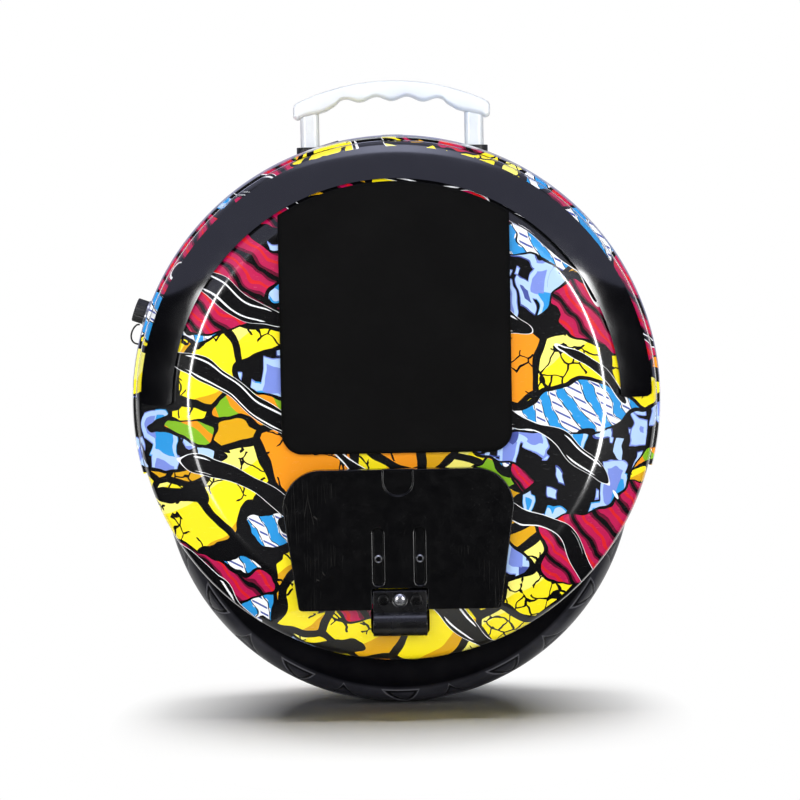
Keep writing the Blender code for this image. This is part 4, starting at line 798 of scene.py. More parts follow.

# %% [markdown]
# ## The tyre
# The tyre is nearly round in section. Its sides carry very fine rings from the mould, and a
# row of outlined triangles runs round each shoulder, which point outwards and inwards in turn.
# The profile is turned finely, and every vertex near a triangle's outline is then sunk by an
# amount that depends on its distance from that outline.

# %% Rubber: the sides are clean and black; the tread is paler, partly road dust and partly painted sheen
axle_z = 0.1775
tyre_r, tyre_half, tyre_side_r = 0.1775, 0.026, 0.15025
bead_r, bead_half = 0.1275, 0.020
tread_low_r, tread_low_y = 0.1535, 0.0085
rubber = new_finish("tyre_rubber", tint(8, 8, 11), 0.34)
rubber_space = place_of(rubber)
radius_at = length_of(rubber, place_of(rubber, (1, 0, 1), shift=(0, 0, -axle_z)))
road = between(rubber, radius_at, 0.1628, 0.1656)
road_dust = between(rubber, noise(rubber, rubber_space, 60, 5, 0.7), 0.4, 0.75)
side_black = blend(rubber, road_dust, tint(3, 3, 6), tint(9, 9, 12))
# The tread's paler grey is partly road dust and partly a painted sheen: the light that the tread
# would catch from the floor.
tread_dust_and_sheen = blend(rubber, road_dust, tint(33, 33, 39), tint(48, 48, 54))
wire(rubber, between(rubber, road, 0.0, 1.0, 0.07, 0.3), "Specular IOR Level")
wire(rubber, drift(rubber, rubber_space, 25, 4, 0.3, 0.7, 0.27, 0.42), "Roughness")
rings = maths(rubber, "SINE", maths(rubber, "MULTIPLY", radius_at, math.tau / 0.0011))
rings = maths(rubber, "MULTIPLY", rings, between(rubber, road, 0.0, 1.0, 0.25, 0.0))
roughen(rubber, maths(rubber, "ADD", rings, noise(rubber, rubber_space, 700, 3, 0.7)), 0.00010, 0.4)

# %% Turn the tyre
triangles = 26
tyre_steps = 936


def tyre_skin():
    points = []
    for k in range(31):
        a = math.radians(90 * k / 30)
        radius = tyre_side_r + (tyre_r - tyre_side_r) * math.cos(a) ** 0.75
        points.append((radius, tyre_half * math.sin(a)))
    for k in range(1, 9):
        a = math.radians(90 * k / 8)
        bulge = (tyre_half - bead_half) * math.cos(a)
        points.append((tyre_side_r - 0.015 * math.sin(a), bead_half + bulge))
    return points + [(bead_r, bead_half)]


outer = tyre_skin()
loop = outer + [(bead_r, 0.0155), (0.150, 0.0215), (0.1675, 0.0152)]
loop += [(0.173, 0.0)] + [(r, -y) for r, y in reversed(loop)][:-1]
tyre_shape = turned(loop, axle_z, tyre_steps)
print("tyre", len(tyre_shape.faces), "faces")

# %% [markdown]
# The same triangles are drawn twice: once in the shape, where they are sunk, and once in the
# rubber's colour, where each groove is black, partly clean rubber and partly painted shade, and a
# painted highlight makes its lip paler. A point's distance from a triangle is the greatest of its
# distances from the three sides.

# %% Two triangles: one points outwards, the next points inwards
wide_out = [(-0.0115, 0.0215), (0.0035, 0.0105), (0.0115, 0.0215)]
wide_in = [(-0.0105, 0.0110), (0.0105, 0.0110), (-0.0040, 0.0212)]
line_half, line_deep, pocket_deep = 0.0010, 0.0014, 0.0004


def sides_of(corners):
    """For each side the three numbers that turn a point into its distance outside that side."""
    sides = []
    for (ax, ay), (bx, by) in zip(corners, corners[1:] + corners[:1]):
        run, rise = bx - ax, by - ay
        length = math.hypot(run, rise)
        sides.append((rise / length, -run / length, (ay * run - ax * rise) / length))
    return sides


def outside_of(corners, x, y):
    return max(a * x + b * y + c for a, b, c in sides_of(corners))


print("inside a triangle", round(outside_of(wide_out, 0.001, 0.018), 4))

# %% Sink the outlines and, by less, what they enclose
for vert in tyre_shape.verts:
    dx, dz, across = vert.co.x, vert.co.z - axle_z, vert.co.y
    radius = math.hypot(dx, dz)
    if radius < tread_low_r or abs(across) < tread_low_y:
        continue
    turn = math.atan2(dz, dx) / math.tau * triangles + (100.5 if across > 0 else 100.0)
    along = (turn % 1.0 - 0.5) * math.tau * tyre_r / triangles
    far = outside_of(wide_out if math.floor(turn) % 2 else wide_in, along, abs(across))
    line = max(0.0, 1 - (abs(far) / line_half) ** 2)
    depth = line_deep * line + (pocket_deep if far < 0 else 0.0) * (1 - line)
    vert.co.x -= dx / radius * depth
    vert.co.z -= dz / radius * depth

# %% Draw the same triangles in the rubber's colour, with painted shade in the grooves and painted highlights on their lips
parts = add(rubber, "ShaderNodeSeparateXYZ", {0: place_of(rubber, shift=(0, 0, -axle_z))}).outputs
turn = maths(rubber, "ARCTAN2", parts[2], parts[0])
turn = maths(rubber, "MULTIPLY_ADD", turn, triangles / math.tau, 100.0)
turn = maths(rubber, "MULTIPLY_ADD", above(rubber, parts[1], 0.0), 0.5, turn)
along = maths(rubber, "SUBTRACT", maths(rubber, "FRACT", turn), 0.5)
along = both(rubber, along, math.tau * tyre_r / triangles)
across = maths(rubber, "ABSOLUTE", parts[1])
odd = above(rubber, maths(rubber, "FRACT", both(rubber, turn, 0.5)), 0.5)


def drawn(corners):
    far = None
    for a, b, c in sides_of(corners):
        reach = maths(rubber, "MULTIPLY_ADD", across, b, c)
        reach = maths(rubber, "MULTIPLY_ADD", along, a, reach)
        far = reach if far is None else maths(rubber, "MAXIMUM", far, reach)
    return far


far_out, far_in = drawn(wide_out), drawn(wide_in)
gain = maths(rubber, "SUBTRACT", far_out, far_in)
far = maths(rubber, "MULTIPLY_ADD", odd, gain, far_in)
# Painted shade: each groove line is near black, partly clean rubber and partly the shade inside the
# groove.
groove_black_and_shade = between(rubber, maths(rubber, "ABSOLUTE", far), 0.0006, 0.0010, 1.0, 0.0)
from_lip = maths(rubber, "ABSOLUTE", maths(rubber, "SUBTRACT", far, 0.0013))
# Painted highlight: a paler ring just outside each groove, where its lip would catch the light.
lip_highlight = between(rubber, from_lip, 0.0001, 0.0005, 1.0, 0.0)
tread_look = blend(rubber, maths(rubber, "MULTIPLY", lip_highlight, 0.8), tread_dust_and_sheen, tint(98, 98, 104))
tread_look = blend(rubber, groove_black_and_shade, tread_look, tint(3, 3, 6))
wire(rubber, blend(rubber, road, side_black, tread_look), "Base Color")
finished("tyre_look", tyre_shape, rubber, "wheel", ["tyre"], sharp=50)
print("outlined triangles", 2 * triangles)

# %% [markdown]
# ## The pedals
# The pedals are folded up, so their undersides face out. Each is a cast plate with straight
# sides that widen upwards and round top corners. Its underside has a finger recess at the top,
# two grooves with a pin hole in each, and a notch at the hinge. The plate is pressed from its
# outline, the recesses are cut, and then a fine bevel lights up every edge.

# %% Satin black paint, a little dusty and scratched
satin = new_finish("black_cast_metal", tint(3, 3, 4), 0.24)
shader_of(satin).inputs["Specular IOR Level"].default_value = 0.3
satin_space = place_of(satin)
satin_dust = between(satin, noise(satin, satin_space, 40, 6, 0.7), 0.5, 0.85)
specks = cells(satin, satin_space, 420).outputs["Distance"]
dusty = between(satin, noise(satin, satin_space, 30, 2), 0.5, 0.62)
speck = both(satin, below(satin, specks, 0.10), dusty)
scratch_space = bent(satin, place_of(satin, (1, 1, 0.05), (0, 0.5, 0)), 8, 0.02)
scratches = cells(satin, scratch_space, 260, "DISTANCE_TO_EDGE").outputs["Distance"]
worn = above(satin, noise(satin, satin_space, 22, 2), 0.6)
scratch = both(satin, below(satin, scratches, 0.006), worn)
marks = both(satin, maths(satin, "MAXIMUM", speck, scratch), 0.10)
marks = maths(satin, "MAXIMUM", both(satin, satin_dust, 0.012), marks)
wire(satin, blend(satin, marks, tint(3, 3, 4), tint(120, 118, 114)), "Base Color")
wire(satin, drift(satin, satin_space, 90, 4, 0.3, 0.75, 0.17, 0.29, 0.7), "Roughness")
roughen(satin, noise(satin, satin_space, 900, 3, 0.6), 0.00008, 0.3)

# %% The pedal's sizes
pedal_out, pedal_t = 0.0880, 0.0117
pedal_low, pedal_top = 0.0812, 0.1842
pedal_low_w, pedal_w, pedal_corner = 0.1485, 0.1690, 0.028
hinge_y, hinge_z = 0.08215, 0.0884
notch_w, notch_h = 0.0406, 0.0159
ring_z, magnet_z = 0.1185, 0.1793


def pedal_outline(inset=0.0, low=pedal_low, foot=0.003):
    wide_z = pedal_top - pedal_corner
    half = (pedal_low_w + (pedal_w - pedal_low_w) * (low - pedal_low) / (wide_z - pedal_low)) / 2
    right = arc(half - inset - foot, low + foot, foot, 270, 360, 5)
    right += arc(pedal_w / 2 - pedal_corner, wide_z, pedal_corner - inset, 0, 90, 16)
    return right + [(-x, z) for x, z in reversed(right)]


print("pedal outline of", len(pedal_outline()), "points")

# %% Grooves with sloping sides, so that each side catches a line of light
def slot_outline(width, height, x, low):
    r = width / 2
    return arc(x, low + height - r, r, 0, 180, 10) + arc(x, low + r, r, 180, 360, 10)


def lofted(rings):
    """A solid through outlines of as many points each, given with their depths along Y."""
    shape = bmesh.new()
    loops = [[shape.verts.new((x, y, z)) for x, z in outline] for outline, y in rings]
    for near, far in zip(loops, loops[1:]):
        for i in range(len(near)):
            shape.faces.new((near[i - 1], near[i], far[i], far[i - 1]))
    shape.faces.new(loops[0])
    shape.faces.new(loops[-1])
    bmesh.ops.recalc_face_normals(shape, faces=shape.faces)
    return shape


groove_sides = [(0.0054, -0.0100), (0.0050, 0.0), (0.0043, 0.0002)]
groove_sides += [(0.0037, 0.0006), (0.0032, 0.0014), (0.0030, 0.0024)]


def groove(x, side):
    middle_z, straight = 0.1203, 0.0177
    rings = []
    for half, depth in groove_sides:
        outline = slot_outline(2 * half, 2 * (straight + half), x, middle_z - straight - half)
        rings.append((outline, side * (pedal_out - depth)))
    return lofted(rings)


# %% Press the plate, cut its recesses, bevel its edges
groove_x, tab_half = 0.0152, 0.011
for hand, side in sides:
    body = "pedal_" + hand
    inner, past = side * (pedal_out - pedal_t), side * (pedal_out + 0.01)
    plate = pressed(pedal_outline(), inner, side * pedal_out)
    pedal = finished("footplate_" + hand, plate, satin, body, [body])
    notch = rounded(notch_w, notch_h + 0.01, 0.0015, 3, 0, pedal_low + notch_h / 2 - 0.005)
    cuts = [pressed(notch, side * 0.06, past)]
    r = 0.0105
    tab = arc(0, pedal_top - 0.0196 + r, r, 180, 360, 18)
    tab = [(x * tab_half / r, z) for x, z in tab]
    tab = [(-tab_half, pedal_top + 0.01)] + tab + [(tab_half, pedal_top + 0.01)]
    cuts.append(pressed(tab, side * (pedal_out - 0.004), past))
    cuts.append(pressed(pedal_outline(0.0092, 0.1047), side * 0.06, inner + side * 0.0014))
    cut_from(pedal, joined(*cuts))
    limit = {"limit_method": "ANGLE", "angle_limit": math.radians(40)}
    changed(pedal, "BEVEL", width=0.0009, segments=4, use_clamp_overlap=True, **limit)
    smooth(pedal.data, 40)
    cut_from(pedal, joined(groove(-groove_x, side), groove(groove_x, side)), sharp=50)
    deep = side * (pedal_out - 0.0056)
    bores = [rod(0.0020, (x, deep, ring_z), (x, past, ring_z), 20) for x in (-groove_x, groove_x)]
    bores.append(rod(0.0033, (-0.0345, side * hinge_y, hinge_z), (0.0845, side * hinge_y, hinge_z)))
    bores.append(rod(0.0038, (0, side * 0.07, magnet_z), (0, inner + side * 0.0023, magnet_z)))
    cut_from(pedal, joined(*bores))
    even_shading(pedal)
    print(pedal.name, len(pedal.data.polygons), "faces")

# %% [markdown]
# The photo shows a bright ring round the hole in each groove and bright ends of the hinge pin
# beside the notch. The rings are small turned pieces of steel set into the grooves.

# %% Steel with a fine brushed grain
bright = new_finish("bright_steel", tint(196, 198, 202), 0.26, 1.0)
brush_space = place_of(bright, (1, 1, 9))
wire(bright, drift(bright, brush_space, 500, 3, 0.3, 0.7, 0.2, 0.36, 0.6), "Roughness")
steel_tints = tint(205, 206, 210), tint(150, 150, 152)
wire(bright, drift(bright, place_of(bright), 70, 4, 0.4, 0.8, *steel_tints), "Base Color")

# %% Rings, pins and magnets of the pedals
ring_section = [(0.0019, -0.0004), (0.0019, 0.0004), (0.0022, 0.0007)]
ring_section += [(0.0026, 0.0005), (0.0029, 0.0001), (0.0029, -0.0004)]
for hand, side in sides:
    body = "pedal_" + hand
    floor_y = side * (pedal_out - 0.0024)
    rings = []
    for x in (-groove_x, groove_x):
        ring = turned([(r, floor_y + side * rise) for r, rise in ring_section], ring_z, 32)
        bmesh.ops.translate(ring, verts=ring.verts, vec=(x, 0, 0))
        rings.append(ring)
    finished("groove_rings_" + hand, joined(*rings), bright, body)
    pin_y = side * hinge_y
    pin = rod(0.003, (-0.034, pin_y, hinge_z), (0.034, pin_y, hinge_z), 32, 0.0004)
    finished("pivot_" + hand, pin, bright, body, ["hinge_pin_" + hand])
    inner = side * (pedal_out - pedal_t)
    magnet = rod(0.0035, (0, inner, magnet_z), (0, inner + side * 0.002, magnet_z), 32, 0.0003)
    finished("magnet_" + hand, magnet, bright, body, ["pedal_magnet_" + hand])
print("pins and rings on both pedals")

# %% [markdown]
# ## The grip mats
# The upper face of each pedal, which shows when it is unfolded, holds a rubber mat with raised
# bars. The mat's base is pressed from the pedal's outline, and each bar is its own small press.

# %% Press the mats
mat_rubber = new_finish("pedal_rubber", tint(20, 20, 20), 0.75)
mat_space = place_of(mat_rubber)
mat_tints = tint(16, 16, 16), tint(34, 33, 32)
wire(mat_rubber, drift(mat_rubber, mat_space, 50, 5, 0.4, 0.8, *mat_tints), "Base Color")
roughen(mat_rubber, noise(mat_rubber, mat_space, 600, 3), 0.00015, 0.5)
mat_low = 0.105
mat_floor = pedal_out - pedal_t + 0.0014 - 0.0003
mat_bars = 9
for hand, side in sides:
    base = side * (mat_floor - 0.0013)
    parts = [pressed(pedal_outline(0.0095, mat_low), base, side * mat_floor, soft=0.0003)]
    for i in range(mat_bars):
        z = mat_low + 0.0045 + i * 0.0076
        half = min(pedal_low_w / 2 + 0.002 + i * 0.0011, 0.084 - 0.0095) - 0.010
        half -= 0.010 if i == mat_bars - 1 else 0.0
        low, high = side * (mat_floor - 0.0022), side * (mat_floor - 0.0010)
        parts.append(pressed(rounded(2 * half, 0.0036, 0.0017, 5, 0, z), low, high, soft=0.0004))
    mat, node = joined(*parts), "pedal_mat_" + hand
    finished("tread_mat_" + hand, mat, mat_rubber, "pedal_" + hand, [node])
print("mats with", mat_bars, "bars each")

# %% [markdown]
# ## The pedal hangers
# A cast bracket carries each pedal. Only its foot shows: a barrel under the pedal's notch, and a
# flat tongue that rises from it into the notch, where the hinge pin crosses it. Two black
# hex-socket screws and a bright domed screw sit in the tongue. The foot is pressed from its
# section along X, and the arm that hangs it from the axle is pressed along Y.

# %% Painted casting: a touch lighter and duller than the pedals
cast = new_finish("painted_casting", tint(6, 6, 8), 0.2)
cast_space = place_of(cast)
cast_dust = between(cast, noise(cast, cast_space, 70, 5, 0.7), 0.5, 0.85, 0.0, 0.16)
wire(cast, blend(cast, cast_dust, tint(5, 5, 7), tint(60, 58, 56)), "Base Color")
wire(cast, drift(cast, cast_space, 110, 4, 0.3, 0.7, 0.22, 0.31), "Roughness")
roughen(cast, noise(cast, cast_space, 1100, 3, 0.6), 0.00008, 0.35)

# %% Press the foot and the arm of each hanger
foot_low, foot_h, foot_half = 0.0616, 0.0182, 0.0198
foot_out = pedal_out + 0.00485
tongue_face, tongue_back, tongue_top = hinge_y + 0.0049, hinge_y - 0.0049, hinge_z + 0.0074
arm_out = wall_in + 0.0120
arm_r, axle_bore, pin_bore = 0.0260, 0.0083, 0.0033
screw_x, screw_seat, dome_seat = 0.0122, 0.0043, 0.0051


def foot_section():
    tip = foot_h / 2
    nose_y, nose_z = foot_out - tip, foot_low + tip
    lift = math.degrees(math.acos((tongue_face - nose_y) / tip))
    section = [(wall_in + 0.0008, foot_low)] + arc(nose_y, nose_z, tip, -90, lift, 24)
    section += arc(tongue_face - 0.002, tongue_top - 0.002, 0.002, 0, 90, 6)
    section += arc(tongue_back + 0.002, tongue_top - 0.002, 0.002, 90, 180, 6)
    section += [(tongue_back, foot_low + foot_h), (arm_out + 0.0032, foot_low + foot_h)]
    neck = foot_low + foot_h + 0.0040
    return section + [(arm_out - 0.0008, neck), (wall_in + 0.0008, neck)]


for hand, side in sides:
    section = [(side * y, z) for y, z in foot_section()]
    foot = pressed(section, -foot_half, foot_half, axis="X", soft=0.0007, segments=4)
    hang = [(foot_half, foot_low)] + arc(0, axle_z, arm_r, -50, 230, 40) + [(-foot_half, foot_low)]
    arm = pressed(hang, side * wall_in, side * arm_out, soft=0.0008)
    node = "pedal_hanger_" + hand
    bracket = finished("bracket_" + hand, arm, cast, "chassis", [node])
    cut_from(bracket, foot, "UNION")
    cuts = [rod(axle_bore, (0, side * 0.02, axle_z), (0, side * 0.06, axle_z), 32)]
    cuts.append(rod(pin_bore, (-0.03, side * hinge_y, hinge_z), (0.03, side * hinge_y, hinge_z)))
    for x, radius in ((-screw_x, screw_seat), (screw_x, screw_seat), (0.0, dome_seat)):
        seat = [(0, -0.0012), (radius, -0.0012), (radius, -0.0005)]
        seat += [(radius + 0.0009, 0.0001), (radius + 0.0010, 0.003), (0, 0.003)]
        hole = turned([(r, side * (tongue_face + rise)) for r, rise in seat], hinge_z, 36)
        bmesh.ops.translate(hole, verts=hole.verts, vec=(x, 0, 0))
        cuts.append(hole)
    cut_from(bracket, joined(*cuts))
    even_shading(bracket, 50)
    print(bracket.name, len(bracket.data.polygons), "faces")

# %% [markdown]
# ## Screws
# Each black screw is a short cylinder with a six-sided socket cut into its face. The
# bright one is a dome with a cross slot, cut by two thin slabs.

# %% Make the screws
black_steel = new_finish("black_screw", tint(14, 14, 15), 0.3, 0.7)
steel_space = place_of(black_steel)
wire(black_steel, drift(black_steel, steel_space, 400, 3, 0.3, 0.7, 0.24, 0.42), "Roughness")


def head_of(node, side):
    """The middle of a screw's head, its radius, and the depths of its back and of its face."""
    low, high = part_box(node)
    back_y, face_y = (high[1], low[1]) if side < 0 else (low[1], high[1])
    return (low[0] + high[0]) / 2, (low[2] + high[2]) / 2, (high[0] - low[0]) / 2, back_y, face_y


for hand, side in sides:
    for place in ("front", "rear"):
        node = "pin_screw_%s_%s" % (hand, place)
        x, z, radius, back_y, face_y = head_of(node, side)
        head = rod(radius, (x, back_y, z), (x, face_y, z), 40, 0.0004)
        hexagon = arc(x, z, 0.0019, 30, 330, 5)
        hexagon = pressed(hexagon, face_y - side * 0.0014, face_y + side * 0.002)
        name = "socket_screw_%s_%s" % (hand, place)
        cut_from(finished(name, head, black_steel, "chassis", [node]), hexagon)
    x, z, radius, back_y, face_y = head_of("detent_screw_" + hand, side)
    dome = bmesh.new()
    bmesh.ops.create_uvsphere(dome, u_segments=40, v_segments=24, radius=radius)
    everything = dome.verts[:] + dome.edges[:] + dome.faces[:]
    plane = {"plane_co": (0, 0, 0), "plane_no": (0, 0, 1), "clear_inner": True}
    bmesh.ops.bisect_plane(dome, geom=everything, **plane)
    bmesh.ops.holes_fill(dome, edges=[e for e in dome.edges if e.is_boundary], sides=0)
    bmesh.ops.scale(dome, vec=(1, 1, abs(face_y - back_y) / radius), verts=dome.verts)
    turn = Matrix.Rotation(math.radians(90 if side < 0 else -90), 4, "X")
    bmesh.ops.transform(dome, matrix=Matrix.Translation((x, back_y, z)) @ turn, verts=dome.verts)
    node = "detent_screw_" + hand
    screw = finished("domed_screw_" + hand, dome, bright, "chassis", [node])
    for width, height in ((0.0052, 0.0011), (0.0011, 0.0052)):
        slit = rounded(width, height, 0.0002, 2, x, z)
        cut_from(screw, pressed(slit, face_y - side * 0.0011, face_y + side * 0.002))
print("six screws on the hangers")

# %% [markdown]
# ## The handle
# A pearl white trolley handle: an arched grip with four finger scallops underneath, on two oval
# tubes that slide into wider ones. The grip begins as a long box that is cut into slices. The
# vertices of each slice are moved to the arch above and to the scallops below.

# %% Pearl white, and bare aluminium for the middle tubes
pearl = new_finish("pearl_white", tint(232, 238, 244), 0.32, coat=0.25)
pearl_space = place_of(pearl)
pearl_tints = tint(236, 242, 246), tint(224, 229, 240)
wire(pearl, drift(pearl, pearl_space, 30, 4, 0.35, 0.75, *pearl_tints), "Base Color")
wire(pearl, drift(pearl, pearl_space, 120, 4, 0.3, 0.7, 0.26, 0.4, 0.7), "Roughness")
roughen(pearl, noise(pearl, pearl_space, 900, 2), 0.00004, 0.3)
aluminium = new_finish("bare_aluminium", tint(196, 198, 202), 0.34, 1.0)
drawn_space = place_of(aluminium, (9, 9, 0.3))
metal_tints = tint(198, 200, 204), tint(172, 174, 178)
wire(aluminium, drift(aluminium, drawn_space, 300, 4, 0.3, 0.7, 0.26, 0.46, 0.7), "Roughness")
wire(aluminium, drift(aluminium, drawn_space, 120, 3, 0.4, 0.7, *metal_tints), "Base Color")

# %% The grip's arch and scallops
grip_half, grip_d = 0.07515, 0.022
grip_top, grip_under, grip_low = 0.472, 0.4583, 0.4428
scallop_pitch, scallop_h = 0.0238, 0.0017


def grip_top_at(x):
    return grip_top - 0.172 + math.sqrt(0.172**2 - x * x)


def grip_under_at(x):
    """Scallops in the middle, then a slope to the ends, from points read off the photo."""
    reach = abs(x)
    wave = -scallop_h * math.cos(math.tau * x / scallop_pitch)
    level = grip_under - 0.0020 * (reach / 0.038) ** 2 + wave
    if reach < 0.040:
        return level
    places = [(0.040, grip_under - 0.0024), (0.0445, 0.4526), (0.050, 0.4492), (0.056, 0.4474)]
    places += [(0.063, 0.4464), (0.068, 0.4450), (0.0716, grip_low), (grip_half + 0.001, grip_low)]
    for (near, high), (far, low) in zip(places, places[1:]):
        if reach <= far:
            share = (reach - near) / (far - near)
            slope = high + (low - high) * share
            return slope + wave * max(0.0, (0.0445 - reach) / 0.0045)
    return grip_low


# %% Slice a box and move its slices
def grip_shape():
    shape = bmesh.new()
    section = rounded(2.0, 2.0, 0.5, 7)
    ends = [0.0700, 0.0714, 0.0726, 0.0736, 0.0743, 0.0748, grip_half]
    slices = sorted([i * 0.0011 for i in range(-63, 64)] + ends + [-x for x in ends])
    face = shape.faces.new([shape.verts.new((slices[0], u, v)) for u, v in section])
    rings = [list(face.verts)]
    front = [face]
    for x in slices[1:]:
        grown = bmesh.ops.extrude_face_region(shape, geom=front)["geom"]
        front, verts = faces_in(grown), verts_in(grown)
        for vert in verts:
            vert.co.x = x
        rings.append(verts)
    for verts in rings:
        x = verts[0].co.x
        past = max(0.0, 1 - (grip_half - abs(x)) / 0.004)
        shrink = 0.0024 * (1 - math.sqrt(max(0.0, 1 - past**2)))
        high, low = grip_top_at(x) - shrink, grip_under_at(x) + shrink
        half_d = grip_d / 2 - shrink
        for vert in verts:
            vert.co.y = handle_y + vert.co.y * half_d
            vert.co.z = (high + low) / 2 + vert.co.z * (high - low) / 2
    return shape


grip = finished("grip_look", grip_shape(), pearl, "handle", ["grip"], sharp=60)
pocket = pressed(oval(0.0246, 0.0106, 0, handle_y, 12), grip_top - 0.0073, grip_top + 0.005, "Z")
sockets = [oval(0.0151, 0.0096, x, handle_y, 12) for x in (-tube_x, tube_x)]
sockets = [pressed(outline, 0.43, 0.4533, "Z") for outline in sockets]
cut_from(grip, joined(pocket, *sockets), sharp=60)
print("grip", len(grip.data.polygons), "faces")

# %% Tubes, each a wall between two ovals
stem_size, stem_span = (0.0145, 0.0090), (0.098, 0.4530)
mid_size, mid_span = (0.0175, 0.0120), (0.093, 0.399)


def tube(size, span, x):
    shape = pressed(oval(*size, x, handle_y, 12), *span, "Z")
    caps = [f for f in shape.faces if len(f.verts) > 4]
    bmesh.ops.inset_region(shape, faces=caps, thickness=0.0012)
    inner = sorted(caps, key=lambda f: f.calc_center_median().z)
    bmesh.ops.bridge_loops(shape, edges=list(inner[0].edges) + list(inner[1].edges))
    bmesh.ops.delete(shape, geom=caps, context="FACES_ONLY")
    return shape


for x, place in ((-tube_x, "rear"), (tube_x, "front")):
    stem, node = tube(stem_size, stem_span, x), "handle_tube_" + place
    finished("stem_" + place, stem, pearl, "handle", [node], sharp=50)
    mid, node = tube(mid_size, mid_span, x), "mid_tube_" + place
    finished("mid_stem_" + place, mid, aluminium, "handle_mid", [node], sharp=50)
print("four sliding tubes")

# %% Black moulded plastic
moulded = new_finish("black_plastic", tint(14, 14, 15), 0.45)
moulded_space = place_of(moulded)
moulded_tints = tint(13, 13, 14), tint(22, 22, 23)
wire(moulded, drift(moulded, moulded_space, 60, 5, 0.4, 0.8, *moulded_tints), "Base Color")
wire(moulded, drift(moulded, moulded_space, 200, 3, 0.3, 0.7, 0.38, 0.55), "Roughness")
roughen(moulded, cells(moulded, moulded_space, 1400).outputs["Distance"], 0.00006, 0.4)

# %% Release button and collars
button = oval(0.024, 0.010, 0, handle_y, 14)
button = pressed(button, grip_top - 0.005, grip_top - 0.0005, "Z", soft=0.0007)
finished("release_look", button, moulded, "release_key", ["release_button"])
for place, x in (("front", tube_x), ("rear", -tube_x)):
    low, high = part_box("collar_" + place)
    rim = oval(high[0] - low[0], high[1] - low[1], x, handle_y, 12)
    bush = pressed(rim, low[2], high[2], "Z", soft=0.0006)
    node = "collar_" + place
    bush = finished("bush_" + place, bush, moulded, "chassis", [node], sharp=40)
    bore = pressed(oval(0.0181, 0.0126, x, handle_y, 12), low[2] - 0.01, high[2] + 0.01, "Z")
    cut_from(bush, bore, sharp=40)
print("button and two collars")

# %% [markdown]
# ## The charge socket, its cap and the lanyard
# A knurled plastic cap covers the socket on the rear of the band, and a thin cord keeps it. The
# cap is a cylinder whose side faces are pushed in, one in two, and the cord is a curve that
# leaves the cap's rim, bows outwards and dips back to the band.

# %% Cap and socket
cap_r, cap_bore_r, lanyard_r, power_r = 0.009, 0.0068, 0.00065, 0.0085


def sink_top(shape, margin, depth):
    """Sinks the middle of the upper face, so that a rim stays round it."""
    top = [f for f in shape.faces if len(f.verts) > 4 and f.normal.z > 0.9]
    bmesh.ops.inset_region(shape, faces=top, thickness=margin)
    bmesh.ops.translate(shape, verts=corners_of(top), vec=(0, 0, -depth))


def port_cap():
    low, high = shell_z + 0.19998, shell_z + 0.2084
    cap = bmesh.new()
    size = {"radius1": cap_r, "radius2": cap_r, "depth": high - low}
    bmesh.ops.create_cone(cap, cap_ends=True, segments=120, **size)
    bmesh.ops.translate(cap, vec=(0, 0, (low + high) / 2), verts=cap.verts)
    soften(cap, rims_of([f for f in cap.faces if len(f.verts) > 4 and f.normal.z > 0]), 0.0007)
    for vert in cap.verts:
        turn = math.atan2(vert.co.y, vert.co.x)
        radius = math.hypot(vert.co.x, vert.co.y)
        if radius > 0.0075:
            rib = 0.5 - 0.5 * math.cos(24 * turn)
            scale = 1 - 0.0005 * rib / radius
            vert.co.x *= scale
            vert.co.y *= scale
    sink_top(cap, 0.0016, 0.0004)
    return swung(cap, port_deg)


cap = finished("cap_look", port_cap(), moulded, "cap", ["charge_cap"], sharp=50)
cap_bore = rod(cap_bore_r, (0, 0, shell_z + 0.19), (0, 0, shell_z + 0.2053), 40)
cut_from(cap, swung(cap_bore, port_deg), sharp=50)
nose = [(0.0, 0.184), (0.0065, 0.184), (0.0065, 0.1983), (0.0098, 0.1983)]
nose += [(0.0098, 0.1995), (0.0096, 0.1997), (0.0065, 0.1997), (0.0065, 0.2046)]
nose += [(0.0061, 0.205), (0.0046, 0.205), (0.0046, 0.194), (0.0, 0.194)]
socket_shape = bmesh.new()
chain = [socket_shape.verts.new((r, 0, shell_z + h)) for r, h in nose]
links = [socket_shape.edges.new(pair) for pair in zip(chain, chain[1:])]
way = {"cent": (0, 0, shell_z), "axis": (0, 0, 1), "angle": math.tau}
bmesh.ops.spin(socket_shape, geom=chain + links, steps=48, use_merge=True, **way)
socket_shape = swung(socket_shape, port_deg)
finished("socket_look", socket_shape, bright, "chassis", ["charge_socket"])
print("cap has", len(cap.data.polygons), "faces")

# %% [markdown]
# The lanyard runs from the cap at one end to the band at the other.

# %% The lanyard
stops = ((2.8, 0.0038), (3.1, 0.0060), (4.1, 0.0077), (5.3, 0.0081))
stops += ((6.3, 0.0070), (6.9, 0.0045), (7.0, 0.00095))
route = []
for turn, rise in stops:
    a = math.radians(port_deg + turn)
    radius = band_crown_r + rise
    route.append(Vector((radius * math.cos(a), 0, shell_z + radius * math.sin(a))))


def smooth_route(route, count):
    points, last = [], len(route) - 1
    for i in range(count + 1):
        t = last * i / count
        k = min(int(t), last - 1)
        u = t - k
        p0, p1, p2, p3 = route[max(k - 1, 0)], route[k], route[k + 1], route[min(k + 2, last)]
        a, b = 2 * p1, p2 - p0
        c, d = 2 * p0 - 5 * p1 + 4 * p2 - p3, 3 * p1 - p0 - 3 * p2 + p3
        points.append((a + b * u + c * u * u + d * u * u * u) / 2)
    return points


